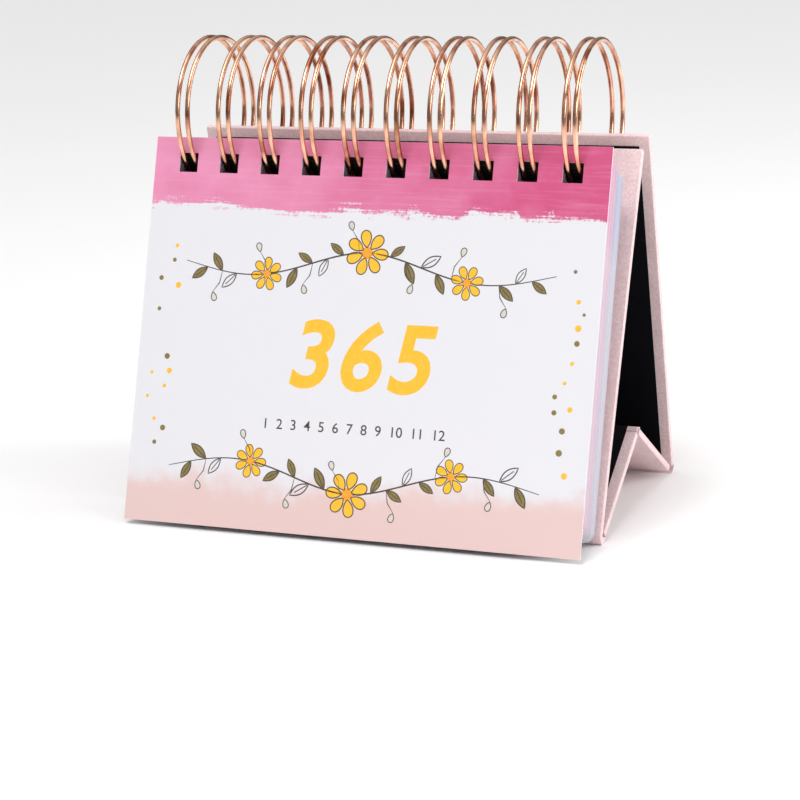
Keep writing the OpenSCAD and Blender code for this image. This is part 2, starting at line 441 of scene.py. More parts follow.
@dataclass(frozen=True)
class PaperFinish(Finish):
    """Uncoated paper or board: mottled by its pulp, with short fibres that catch the light."""

    name: str
    light: str
    dark: str
    fibre_mm: float = 0.5
    mottle_mm: float = 7.0
    mottle_share: float = 0.3
    tone_spread: float = 0.2
    roughness: float = 0.78
    gloss: float = 0.35
    bump_mm: float = 0.03
    bump_share: float = 0.6

    def paint(self, tree: Tree) -> dict[str, Any]:
        """Mixes two tones by pulp and fibre and raises the fibres a little.

        Args:
            tree: The material's tree.

        Returns:
            Shader input to a value or a socket.
        """
        place = add_node(tree, "ShaderNodeTexCoord", {})["Object"]
        pulp = {"Vector": place, "Scale": per(self.mottle_mm), "Detail": 3.0}
        mottle = add_node(tree, "ShaderNodeTexNoise", pulp)["Fac"]
        hairs = {"Vector": place, "Scale": per(self.fibre_mm), "Detail": 4.0, "Roughness": 0.7}
        fibre = add_node(tree, "ShaderNodeTexNoise", hairs)["Fac"]
        sums = {0: mottle, 1: self.mottle_share, 2: fibre}
        both = add_node(tree, "ShaderNodeMath", sums, operation="MULTIPLY_ADD")[0]
        middle = (1 + self.mottle_share) / 2
        limits = {"From Min": middle - self.tone_spread, "From Max": middle + self.tone_spread}
        share = add_node(tree, "ShaderNodeMapRange", {"Value": both, **limits})[0]
        tones = {SHARE: share, UNDER: self.dark, OVER: self.light}
        tone = add_node(tree, "ShaderNodeMix", tones, data_type="RGBA")[MIXED]
        relief = {"Strength": self.bump_share, "Distance": self.bump_mm * MM, "Height": fibre}
        bump = add_node(tree, "ShaderNodeBump", relief)["Normal"]
        constants = {"Roughness": self.roughness, "Specular IOR Level": self.gloss}
        return {"Base Color": tone, "Normal": bump, **constants}


@dataclass(frozen=True)
class CopperFinish(Finish):
    """Copper-plated steel wire under clear lacquer: warm mirror streaks and a soft drawn grain."""

    # Drawn, plated and lacquered: bright warm streaks along each loop, softened by the grain
    name: str = "copper-plated wire"
    bright: str = "#F9C6A6"
    deep: str = "#A05837"
    plating_mm: float = 8.0
    plating_thin: float = 0.31
    plating_full: float = 0.6
    draw_mm: float = 0.5
    smoothest: float = 0.11
    roughest: float = 0.25
    lacquer: float = 0.25
    lacquer_roughness: float = 0.08

    def paint(self, tree: Tree) -> dict[str, Any]:
        """Varies the plating's tone and roughness along the wire.

        Args:
            tree: The material's tree.

        Returns:
            Shader input to a value or a socket.
        """
        place = add_node(tree, "ShaderNodeTexCoord", {})["Object"]
        bath = {"Vector": place, "Scale": per(self.plating_mm), "Detail": 3.0}
        plating = add_node(tree, "ShaderNodeTexNoise", bath)["Fac"]
        limits = {"Value": plating, "From Min": self.plating_thin, "From Max": self.plating_full}
        uneven = add_node(tree, "ShaderNodeMapRange", limits)[0]
        tones = {SHARE: uneven, UNDER: self.deep, OVER: self.bright}
        tone = add_node(tree, "ShaderNodeMix", tones, data_type="RGBA")[MIXED]
        marks = {"Vector": place, "Scale": per(self.draw_mm), "Detail": 2.0}
        drawn = add_node(tree, "ShaderNodeTexNoise", marks)["Fac"]
        grain = {"Value": drawn, "To Min": self.smoothest, "To Max": self.roughest}
        rough = add_node(tree, "ShaderNodeMapRange", grain)[0]
        coat = {"Coat Weight": self.lacquer, "Coat Roughness": self.lacquer_roughness}
        return {"Base Color": tone, "Roughness": rough, "Metallic": 1.0, **coat}


@dataclass(frozen=True)
class PageFinish(Finish):
    """The cut edges of writing paper: each leaf's edge has its own tone."""

    name: str
    light: str
    dark: str
    fibre_mm: float = 0.4
    fibre_share: float = 0.25
    roughness: float = 0.8
    gloss: float = 0.3

    def paint(self, tree: Tree) -> dict[str, Any]:
        """Reads each leaf's own tone and adds the paper's fibre.

        Args:
            tree: The material's tree.

        Returns:
            Shader input to a value or a socket.
        """
        leaf = add_node(tree, "ShaderNodeAttribute", {}, attribute_name="leaf_tone")["Fac"]
        place = add_node(tree, "ShaderNodeTexCoord", {})["Object"]
        hairs = {"Vector": place, "Scale": per(self.fibre_mm), "Detail": 3.0}
        fibre = add_node(tree, "ShaderNodeTexNoise", hairs)["Fac"]
        sums = {0: fibre, 1: self.fibre_share, 2: leaf}
        share = add_node(tree, "ShaderNodeMath", sums, operation="MULTIPLY_ADD")[0]
        tones = {SHARE: share, UNDER: self.dark, OVER: self.light}
        tone = add_node(tree, "ShaderNodeMix", tones, data_type="RGBA")[MIXED]
        return {"Base Color": tone, "Roughness": self.roughness, "Specular IOR Level": self.gloss}


@dataclass(frozen=True)
class PageFaceFinish(Finish):
    """The face of a page: smooth paper, tinted along its top, with painted shade along the upper edge of each hole."""

    name: str
    tint: str
    paper: str = "#F3F1F4"
    paper_dark: str = "#E6E3E8"
    wash_mm: float = 22.0
    feather_mm: float = 7.0
    cloud_mm: float = 20.0
    fibre_mm: float = 0.6
    # Painted shade: a near-black band along the upper edge of each hole darkens the paper seen through the holes
    rub: str = "#151213"
    rub_mm: float = 1.1
    rub_feather_mm: float = 0.6
    roughness: float = 0.7
    gloss: float = 0.3

    def rubbed(self, tree: Tree, across: Socket, down: Socket) -> Socket:
        """Says how much painted shade lies at a place, along the upper edge of each hole.

        Args:
            tree: The material's tree.
            across: Millimetres across the page from its middle.
            down: Millimetres down from its top edge.

        Returns:
            One along the upper edge of each hole, and zero away from it.
        """
        half_pitch = PLAN.holes.pitch / 2
        side = half_pitch - PLAN.holes.width / 2
        top = PLAN.hole_drop - PLAN.holes.height / 2
        row_end = PLAN.holes.count * half_pitch
        near = add_node(tree, "ShaderNodeMath", {0: across, 1: half_pitch}, operation="PINGPONG")[0]
        out = add_node(tree, "ShaderNodeMath", {0: across}, operation="ABSOLUTE")[0]
        in_row = add_node(tree, "ShaderNodeMath", {0: out, 1: row_end}, operation="LESS_THAN")[0]
        inner = add_node(tree, "ShaderNodeMath", {0: near, 1: in_row}, operation="MULTIPLY")[0]
        off = add_node(tree, "ShaderNodeMath", {0: down, 1: top}, operation="SUBTRACT")[0]
        apart = add_node(tree, "ShaderNodeMath", {0: off}, operation="ABSOLUTE")[0]
        beside, above = (
            add_node(tree, "ShaderNodeMapRange", {"Value": value, "From Min": none, "From Max": full})[0]
            for value, none, full in (
                (inner, side - self.rub_feather_mm, side),
                (apart, self.rub_mm + self.rub_feather_mm, self.rub_mm),
            )
        )
        return add_node(tree, "ShaderNodeMath", {0: beside, 1: above}, operation="MULTIPLY")[0]

    def paint(self, tree: Tree) -> dict[str, Any]:
        """Fades the wash out by the distance from the top edge, kept in the page's UV map.

        Args:
            tree: The material's tree.

        Returns:
            Shader input to a value or a socket.
        """
        place = add_node(tree, "ShaderNodeUVMap", {}, uv_map="print")["UV"]
        parts = add_node(tree, "ShaderNodeSeparateXYZ", {"Vector": place})
        cloud, fibre = (
            add_node(tree, "ShaderNodeTexNoise", {"Vector": place, "Scale": 1 / size, "Detail": 4.0})["Fac"]
            for size in (self.cloud_mm, self.fibre_mm)
        )
        wander = 2 * self.feather_mm
        sums = {0: cloud, 1: wander, 2: parts["Y"]}
        edge = add_node(tree, "ShaderNodeMath", sums, operation="MULTIPLY_ADD")[0]
        middle = self.wash_mm + wander / 2
        limits = {"From Min": middle + self.feather_mm, "From Max": middle - self.feather_mm}
        fade = {"Value": edge, **limits}
        washed = add_node(tree, "ShaderNodeMapRange", fade, interpolation_type="SMOOTHSTEP")[0]
        tone: Socket | str = self.paper_dark
        # Painted shade along the upper edge of each hole, mixed in last
        hole_shade_share = self.rubbed(tree, parts["X"], parts["Y"])
        for share, over in ((fibre, self.paper), (washed, self.tint), (hole_shade_share, self.rub)):
            tones = {SHARE: share, UNDER: tone, OVER: over}
            tone = add_node(tree, "ShaderNodeMix", tones, data_type="RGBA")[MIXED]
        return {"Base Color": tone, "Roughness": self.roughness, "Specular IOR Level": self.gloss}


@dataclass(frozen=True)
class PrintedCardFinish(Finish):
    """Silk-coated card with a brushed pink wash along the top and a blush wash along the bottom."""

    # Coated and printed: an even cool white that carries the washes with a dull sheen
    name: str = "printed silk card"
    paper: str = "#E5E4E9"
    wash: str = "#E893B8"
    wash_dark: str = "#D05382"
    wash_light: str = "#F2B0D0"
    blush: str = "#E3C3BE"
    cloud_mm: float = 22.0
    speck_mm: float = 0.9
    brush_mm: float = 26.0
    bristle_mm: float = 1.1
    band_mm: float = 19.5
    band_feather_mm: float = 0.5
    band_wander_mm: float = -16.0
    band_tear_mm: float = 7.0
    band_fray_mm: float = 5.0
    pool_wander_mm: float = -180.0
    pool_dark_mm: float = -24.0
    pool_pale_mm: float = -156.0
    streak_from: float = 0.5
    streak_to: float = 0.85
    streak_share: float = 0.4
    blush_from_mm: float = 95.0
    blush_wander_mm: float = 26.0
    blush_rise_mm: float = 4.0
    blush_fall_mm: float = 5.0
    blush_share: float = 0.92
    roughness: float = 0.5
    gloss: float = 0.4

    def paint(self, tree: Tree) -> dict[str, Any]:
        """Lays the two washes on the card by the distance from its top edge, kept in its UV map.

        Args:
            tree: The material's tree.

        Returns:
            Shader input to a value or a socket.
        """
        place = add_node(tree, "ShaderNodeUVMap", {}, uv_map="print")["UV"]
        parts = add_node(tree, "ShaderNodeSeparateXYZ", {"Vector": place})
        across, down = parts["X"], parts["Y"]
        stretch = {"Vector": place, "Scale": (1 / self.brush_mm, 1 / self.bristle_mm, 1.0)}
        strokes = add_node(tree, "ShaderNodeMapping", stretch)["Vector"]
        patterns = (
            {"Vector": strokes, "Scale": 1.0, "Detail": 5.0, "Roughness": 0.65},
            {"Vector": place, "Scale": 1 / self.cloud_mm, "Detail": 4.0, "Roughness": 0.6},
            {"Vector": place, "Scale": 1 / self.speck_mm, "Detail": 3.0, "Roughness": 0.8},
        )
        bristle, cloud, speck = (add_node(tree, "ShaderNodeTexNoise", each)["Fac"] for each in patterns)
        # The wash's lower edge wanders by the cloud and breaks up by the bristles and specks
        reaches = (self.band_wander_mm, self.band_tear_mm, self.band_fray_mm)
        edge = down
        for pattern, reach in zip((cloud, bristle, speck), reaches):
            sums = {0: pattern, 1: reach, 2: edge}
            edge = add_node(tree, "ShaderNodeMath", sums, operation="MULTIPLY_ADD")[0]
        band = self.band_mm + sum(reaches) / 2
        feather = self.band_feather_mm
        limits = {"Value": edge, "From Min": band + feather, "From Max": band - feather}
        covered = add_node(tree, "ShaderNodeMapRange", limits)[0]
        # The pigment pools towards the right and in the cloud's hollows, and the bristles leave paler streaks
        sums = {0: cloud, 1: self.pool_wander_mm, 2: across}
        pool = add_node(tree, "ShaderNodeMath", sums, operation="MULTIPLY_ADD")[0]
        limits = {"Value": pool, "From Min": self.pool_dark_mm, "From Max": self.pool_pale_mm}
        pale = add_node(tree, "ShaderNodeMapRange", limits)[0]
        limits = {"Value": bristle, "From Min": self.streak_from, "From Max": self.streak_to}
        streak = add_node(tree, "ShaderNodeMapRange", {**limits, "To Max": self.streak_share})[0]
        # The blush rises from the lower edge as a soft cloud
        sums = {0: cloud, 1: self.blush_wander_mm, 2: down}
        low = add_node(tree, "ShaderNodeMath", sums, operation="MULTIPLY_ADD")[0]
        start = self.blush_from_mm + self.blush_wander_mm / 2
        limits = {"From Min": start - self.blush_rise_mm, "From Max": start + self.blush_fall_mm}
        fade = {"Value": low, **limits, "To Max": self.blush_share}
        blushed = add_node(tree, "ShaderNodeMapRange", fade, interpolation_type="SMOOTHSTEP")[0]
        tones = {SHARE: pale, UNDER: self.wash_dark, OVER: self.wash}
        pigment = add_node(tree, "ShaderNodeMix", tones, data_type="RGBA")[MIXED]
        tones = {SHARE: streak, UNDER: pigment, OVER: self.wash_light}
        streaked = add_node(tree, "ShaderNodeMix", tones, data_type="RGBA")[MIXED]
        tones = {SHARE: blushed, UNDER: self.paper, OVER: self.blush}
        ground = add_node(tree, "ShaderNodeMix", tones, data_type="RGBA")[MIXED]
        tones = {SHARE: covered, UNDER: ground, OVER: streaked}
        colour = add_node(tree, "ShaderNodeMix", tones, data_type="RGBA")[MIXED]
        return {"Base Color": colour, "Roughness": self.roughness, "Specular IOR Level": self.gloss}


@dataclass(frozen=True)
class InkFinish(Finish):
    """Printing ink on card: one tone, let down a little where the paper shows through."""

    name: str
    colour: str
    thin: str
    blotch_mm: float = 1.2
    thin_from: float = 0.45
    thin_to: float = 0.75
    thin_share: float = 0.6
    roughness: float = 0.5

    def paint(self, tree: Tree) -> dict[str, Any]:
        """Mixes the full ink with its thin tone in small blotches.

        Args:
            tree: The material's tree.

        Returns:
            Shader input to a value or a socket.
        """
        place = add_node(tree, "ShaderNodeTexCoord", {})["Object"]
        blots = {"Vector": place, "Scale": per(self.blotch_mm), "Detail": 3.0}
        blotch = add_node(tree, "ShaderNodeTexNoise", blots)["Fac"]
        limits = {"From Min": self.thin_from, "From Max": self.thin_to, "To Max": self.thin_share}
        share = add_node(tree, "ShaderNodeMapRange", {"Value": blotch, **limits})[0]
        tones = {SHARE: share, UNDER: self.colour, OVER: self.thin}
        tone = add_node(tree, "ShaderNodeMix", tones, data_type="RGBA")[MIXED]
        return {"Base Color": tone, "Roughness": self.roughness}


class FinishChoice(Enum):
    """A finish chosen by its name."""

    def material(self) -> Material:
        """Gives the chosen finish's material."""
        return self.value.material()


class Paper(FinishChoice):
    """The plain papers and boards of the calendar."""

    # Dyed in the pulp and pasted down: a matt pale pink with a soft tooth
    COVERING = PaperFinish("dyed covering paper", "#F4DCDD", "#DABCBE", fibre_mm=0.7, bump_mm=0.05)
    # Dyed through: so dark that the inside of the easel reads as a gap
    LINING = PaperFinish("black lining paper", "#090A12", "#030408", fibre_mm=0.6, gloss=0.15, bump_mm=0.02)
    # Pressed waste paper: coarse and grey-brown, seen in the boards' holes alone
    GREYBOARD = PaperFinish("greyboard", "#B3A99C", "#857B70", fibre_mm=0.35, mottle_mm=2.5)
    # Painted shade: the walls of the pad's holes are painted near-black, so that the holes through the pad read as
    # black squares
    PUNCHED = PaperFinish("dusty punched edge", "#141111", "#070606", fibre_mm=0.4)
    # Calendered smooth: an even off-white
    CARD_BACK = PaperFinish("plain card", "#F2F1F3", "#E9E7EB", roughness=0.6)
    # Rolled out wide: almost white, without a pattern that could distract
    BACKDROP = PaperFinish(
        "pale backdrop paper", "#F7F6F6", "#F5F4F4", fibre_mm=2.0, mottle_mm=80.0, bump_mm=0.01
    )


class Ink(FinishChoice):
    """The offset inks of the cover and the pages: flat, and a little thin on the paper's high spots."""

    # Warm and bright, for petals and the large numerals
    YELLOW = InkFinish("yellow ink", "#FBBE2C", "#FDCB55")
    # Deeper than the petals, so that the daisies' hearts stand out
    ORANGE = InkFinish("orange ink", "#F0A02A", "#F5B452")
    # A dull green-brown, for leaves
    OLIVE = InkFinish("olive ink", "#84733F", "#9A8A58")
    # A soft dark, for stems, outlines and small numerals
    UMBER = InkFinish("umber ink", "#4A4038", "#665A50")
    # Pale and cool, for buds
    STONE = InkFinish("stone ink", "#D6D0C6", "#E2DED6")


class PageTone(FinishChoice):
    """The two tints of paper in the pad, guillotined: fine bands of leaf edges."""

    # The front months: dusty rose bands
    ROSE = PageFinish("rose-edged paper", "#E2C8D5", "#C097B1")
    # The rear months: cool blue-grey bands
    BLUE = PageFinish("blue-white paper", "#CFCDD9", "#9A9CAE")


class PageFace(FinishChoice):
    """The two washes on the pages' faces, printed: a soft tint that fades down the page."""

    # The front months: a blush at the top
    ROSE = PageFaceFinish("rose-washed page", "#EFC6DC")
    # The rear months: a haze of blue at the top
    BLUE = PageFaceFinish("blue-washed page", "#CDD3EA")


# The plan of the solids


@dataclass(frozen=True)
class HoleRow:
    """The row of punched holes that the loops pass through."""

    count: int = 10
    pitch: float = 12.7
    width: float = 5.75
    height: float = 5.5

    def centres(self) -> list[float]:
        """Positions of the holes across the calendar."""
        return [(k - (self.count - 1) / 2) * self.pitch for k in range(self.count)]


def joint_point(name: str) -> Vector:
    """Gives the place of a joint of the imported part, in metres."""
    return Vector(next(joint for joint in frame["joints"] if joint["name"] == name)["pos_m"])


@dataclass(frozen=True)
class EaselPlan:
    """Sizes of the solids that the dressing has to follow, in millimetres and degrees."""

    holes: HoleRow = field(default_factory=HoleRow)
    panel_w: float = 136.5
    panel_t: float = 2.2
    lining_t: float = 0.2
    margin: float = 3.0
    strip_t: float = 0.3
    fold_z: float = 2.08
    front_len: float = 106.7
    back_len: float = 102.2
    base_front_len: float = 39.0
    base_rear_len: float = 37.8
    front_lean: float = 24.4
    back_lean: float = 10.5
    front_end_gap: float = 1.5
    peak_end_gap: float = 0.6
    rear_end_gap: float = 2.2
    fold_play: float = 0.15
    ring_r: float = 21.3
    wire_d: float = 1.4
    ring_standoff: float = 13.26
    back_standoff: float = 12.55
    front_wire_drop: float = 12.26
    leaf_play: float = 0.3
    leaf_lean: float = 19.0
    leaf_gap: float = 0.05
    lean_gap: float = 0.3
    hole_drop: float = 7.2
    cover_w: float = 135.5
    cover_h: float = 109.2
    cover_t: float = 0.4
    page_w: float = 133.4
    page_h: float = 99.0
    page_corner_r: float = 3.0
    pad_t: float = 13.4
    months: int = 12

    @property
    def ring(self) -> Vector:
        """Centre of the loops."""
        return joint_point("cover_turn")

    @property
    def front_fold(self) -> Vector:
        """Axis of the front fold."""
        return joint_point("base_front_fold")

    @property
    def peak(self) -> Vector:
        """Crease of the base's peak."""
        return joint_point("base_rear_fold")

    @property
    def rear_fold(self) -> Vector:
        """Axis of the rear fold."""
        foot = next(m for m in frame["record"]["mounts"] if m["name"] == "rear_foot")
        return Vector((0.0, foot["pos_m"][1], self.fold_z * MM))

    def base_run(self, length: float) -> float:
        """Length of a base board along its inner face, from its fold to the peak."""
        return math.sqrt(length**2 - self.panel_t**2)

    def base_slope(self, fold: Vector, length: float) -> float:
        """Slope of a base board.

        Args:
            fold: Axis of the fold at its foot.
            length: Distance from that axis to the peak.

        Returns:
            Degrees up from the table.
        """
        step = self.peak - fold
        rise = math.atan2(step.z, abs(step.y))
        return math.degrees(rise + math.atan2(self.panel_t, self.base_run(length)))

    @property
    def base_front_up(self) -> float:
        """Slope of the front base board."""
        return self.base_slope(self.front_fold, self.base_front_len)

    @property
    def base_rear_slope(self) -> float:
        """Slope of the rear base board."""
        return self.base_slope(self.rear_fold, self.base_rear_len)

    @property
    def section_t(self) -> float:
        """Thickness of one month's leaves."""
        return self.pad_t / self.months

    def wire_half(self, u: float, t: float) -> float:
        """Half the height that the wire takes in a leaf of thickness t at depth u."""
        tilt = math.asin(abs(u) / self.ring_r)
        return (self.wire_d / 2 + t / 2 * math.sin(tilt)) / math.cos(tilt)

    def wire_v(self, u: float) -> float:
        """Distance below the loops' centre where the wire crosses depth u."""
        return math.sqrt(self.ring_r**2 - u**2)

    def hole_rise(self, u: float, t: float) -> float:
        """Distance from the wire to the centre of the hole that hangs on it, for a sheet at depth u."""
        return self.holes.height / 2 - self.wire_half(u, t) - self.leaf_play

    def hole_v(self, u: float, t: float) -> float:
        """Distance below the loops' centre of a leaf's hole centres."""
        return self.wire_v(u) + self.hole_rise(u, t)

    @property
    def pad_rear_u(self) -> float:
        """Depth of the pad's rear face.

        Returns:
            Millimetres behind the loops' centre, where the pad's foot leans on the front panel.
        """
        bottom = self.hole_v(0.0, self.section_t) - self.hole_drop + self.page_h
        angle = math.radians(self.front_lean - self.leaf_lean)
        room = self.ring_standoff - self.panel_t - self.lean_gap
        return (room - bottom * math.sin(angle)) / math.cos(angle)

    def section_u(self, month: int) -> float:
        """Depth of the middle of a month's leaves."""
        step = self.section_t + self.leaf_gap
        return self.pad_rear_u - self.section_t / 2 - (self.months - month) * step

    @property
    def cover_u(self) -> float:
        """Depth of the middle of the cover."""
        return self.section_u(1) - self.section_t / 2 - self.leaf_gap - self.cover_t / 2

    @property
    def leaf_down(self) -> float:
        """Direction in which the leaves hang."""
        return 270.0 - self.leaf_lean

    def leaf_matrix(self, u: float, t: float) -> Matrix:
        """Frame of a leaf: local Y runs down from its top edge, local Z back from its front face.

        Args:
            u: Depth of the middle of the leaf.
            t: Its thickness.

        Returns:
            The matrix that takes local millimetres to metres.
        """
        down = along(self.leaf_down) * ((self.hole_v(u, t) - self.hole_drop) * MM)
        back = along(self.leaf_down + 90) * ((u - t / 2) * MM)
        return line_matrix(self.ring + down + back, self.leaf_down)

    def print_matrix(self, u: float, t: float) -> Matrix:
        """Frame of a leaf's printed face: local Y runs up from its top edge, local Z to the reader."""
        return self.leaf_matrix(u, t) @ Matrix.Diagonal((1.0, -1.0, -1.0, 1.0))


PLAN = EaselPlan()


# Mesh building


@dataclass(frozen=True)
class PlateSizes:
    """A flat sheet in its own frame: X across, Y along, Z through it."""

    width: float
    y0: float
    y1: float
    z0: float
    z1: float
    hole_y: float | None = None
    corner_r: float = 0.0
    corner_steps: int = 6

    def corner(self, side: int) -> list[list[Point]]:
        """Divides a rounded lower corner into triangles.

        Args:
            side: -1 for the left corner, 1 for the right one.

        Returns:
            The triangles' outlines.
        """
        r = self.corner_r
        x, y = side * (self.width / 2 - r), self.y1 - r
        turns = [math.radians(90 * i / self.corner_steps) for i in range(self.corner_steps + 1)]
        rim = [(x + side * r * math.cos(turn), y + r * math.sin(turn)) for turn in turns]
        return [[(x, y), first, second] for first, second in zip(rim, rim[1:])]

    def outlines(self, holes: HoleRow) -> list[list[Point]]:
        """Divides the sheet into flat faces round its holes.

        Args:
            holes: The row of holes, used where the sheet has a hole line.

        Returns:
            The faces' outlines.
        """
        half, r = self.width / 2, self.corner_r
        cuts = [-half, half]
        rows = [self.y0, self.y1 - r]
        gaps: list[float] = []
        if self.hole_y is not None:
            gaps = [x - holes.width / 2 for x in holes.centres()]
            cuts += gaps + [x + holes.width / 2 for x in holes.centres()]
            rows += [self.hole_y - holes.height / 2, self.hole_y + holes.height / 2]
        if r > 0:
            cuts += [-half + r, half - r]
            rows.append(self.y1)
        cuts.sort()
        rows.sort()
        found = []
        for low, high in zip(rows, rows[1:]):
            punched = self.hole_y is not None and low < self.hole_y < high
            rounded = r > 0 and high == self.y1
            for left, right in zip(cuts, cuts[1:]):
                in_hole = punched and any(abs(left - gap) < HAIR for gap in gaps)
                in_corner = rounded and max(right, -left) > half - r + HAIR
                if not in_hole and not in_corner:
                    found.append([(left, low), (right, low), (right, high), (left, high)])
        if r > 0:
            found += self.corner(-1) + self.corner(1)
        return found


def punched_plate(sizes: PlateSizes, holes: HoleRow) -> Sheet:
    """Builds a closed sheet with a row of square holes and, if asked, rounded lower corners.

    Args:
        sizes: The sheet's sizes in millimetres.
        holes: The row of holes, used where the sheet has a hole line.

    Returns:
        The sheet, with the walls of its holes on their own material index.
    """
    bm = bmesh.new()
    corners: dict[Point, bmesh.types.BMVert] = {}
    faces = []
    for outline in sizes.outlines(holes):
        rim = []
        for x, y in outline:
            key = (round(x, KEY_DIGITS), round(y, KEY_DIGITS))
            if key not in corners:
                corners[key] = bm.verts.new((x, y, sizes.z0))
            rim.append(corners[key])
        faces.append(bm.faces.new(rim))
    grown = bmesh.ops.extrude_face_region(bm, geom=faces, use_keep_orig=True)
    lifted = [g for g in grown["geom"] if isinstance(g, bmesh.types.BMVert)]
    bmesh.ops.translate(bm, vec=(0.0, 0.0, sizes.z1 - sizes.z0), verts=lifted)
    bmesh.ops.recalc_face_normals(bm, faces=bm.faces)
    low, high = sizes.y0 + HAIR, sizes.y1 - sizes.corner_r - HAIR
    for face in bm.faces:
        middle = face.calc_center_median()
        inside = abs(middle.x) < sizes.width / 2 - HAIR and low < middle.y < high
        if inside and abs(face.normal.z) < FLAT:
            face.material_index = HOLE
    return bm


def soften_rim(bm: Sheet, width: float, segments: int, crisp_y: float | None = None) -> None:
    """Rounds the outer edges of a sheet and leaves the holes' edges crisp.

    Args:
        bm: The sheet.
        width: Radius of the rounding, in the sheet's own unit.
        segments: Number of faces across the rounding.
        crisp_y: Where the sheet runs on into a fold, so that its end stays crisp too.
    """
    sharp = [
        edge
        for edge in bm.edges
        if len(edge.link_faces) == 2
        and edge.calc_face_angle(0.0) > EDGE_ANGLE
        and all(face.material_index == OUTSIDE for face in edge.link_faces)
        and (crisp_y is None or any(abs(vert.co.y - crisp_y) > HAIR for vert in edge.verts))
    ]
    bmesh.ops.bevel(
        bm, geom=sharp, offset=width, offset_type="OFFSET", segments=segments, profile=0.5, affect="EDGES"
    )


def map_print(bm: Sheet) -> None:
    """Keeps a sheet's own millimetres, across and down, as its UV map.

    Args:
        bm: The sheet, in its own frame.
    """
    layer = bm.loops.layers.uv.new("print")
    for face in bm.faces:
        for loop in face.loops:
            loop[layer].uv = loop.vert.co.xy


# Sub-assemblies


@dataclass
class CoveredBoard:
    """One board of the easel, wrapped in covering paper and lined on its inner face."""

    name: str
    origin: Vector
    angle: float
    outer: int
    y0: float
    y1: float
    hole_y: float | None = None
    edge_r: float = 0.32
    edge_steps: int = 3
    smooth_below: float = 40.0

    def build(self) -> Piece:
        """Builds the wrapped board and hands it to its body.

        Returns:
            The covered board's object.
        """
        sizes = PlateSizes(PLAN.panel_w, self.y0, self.y1, PLAN.lining_t, PLAN.panel_t, self.hole_y)
        bm = punched_plate(sizes, PLAN.holes)
        soften_rim(bm, self.edge_r, self.edge_steps, self.y0)
        mesh = mesh_of(bm, line_matrix(self.origin, self.angle, self.outer), self.smooth_below)
        materials = [Paper.COVERING.material(), Paper.GREYBOARD.material()]
        board = add_object(f"{self.name}_covering", mesh, materials)
        return hand_over(board, self.name, "covering_paper", f"{self.name}_wrap", f"{self.name}_board")

    def dress(self) -> None:
        """Gives the lining, which stays as the solid it is, its paper."""
        lining = frame["nodes"][f"{self.name}_lining"]
        lining.data.materials.clear()
        lining.data.materials.append(Paper.LINING.material())


def easel_boards() -> list[CoveredBoard]:
    """Lists the four boards with their places.

    Returns:
        The front panel, the back panel and the two base boards.
    """
    front_u = PLAN.ring_standoff - PLAN.panel_t / 2
    front_hole = PLAN.front_len - PLAN.front_wire_drop + PLAN.hole_rise(front_u, PLAN.panel_t)
    ring_up = (PLAN.ring - PLAN.rear_fold).dot(along(90 + PLAN.back_lean)) / MM
    back_hole = ring_up - PLAN.wire_v(PLAN.back_standoff + PLAN.panel_t / 2)
    front_run = PLAN.base_run(PLAN.base_front_len) - PLAN.peak_end_gap
    rear_run = PLAN.base_run(PLAN.base_rear_len) - PLAN.peak_end_gap
    front, rear = PLAN.front_fold, PLAN.rear_fold
    return [
        CoveredBoard("front_panel", front, 90 - PLAN.front_lean, 1, 0.0, PLAN.front_len, front_hole),
        CoveredBoard("back_panel", rear, 90 + PLAN.back_lean, -1, 0.0, PLAN.back_len, back_hole),
        CoveredBoard("base_front", front, PLAN.base_front_up, -1, PLAN.front_end_gap, front_run),
        CoveredBoard("base_rear", rear, 180 - PLAN.base_rear_slope, 1, PLAN.rear_end_gap, rear_run),
    ]


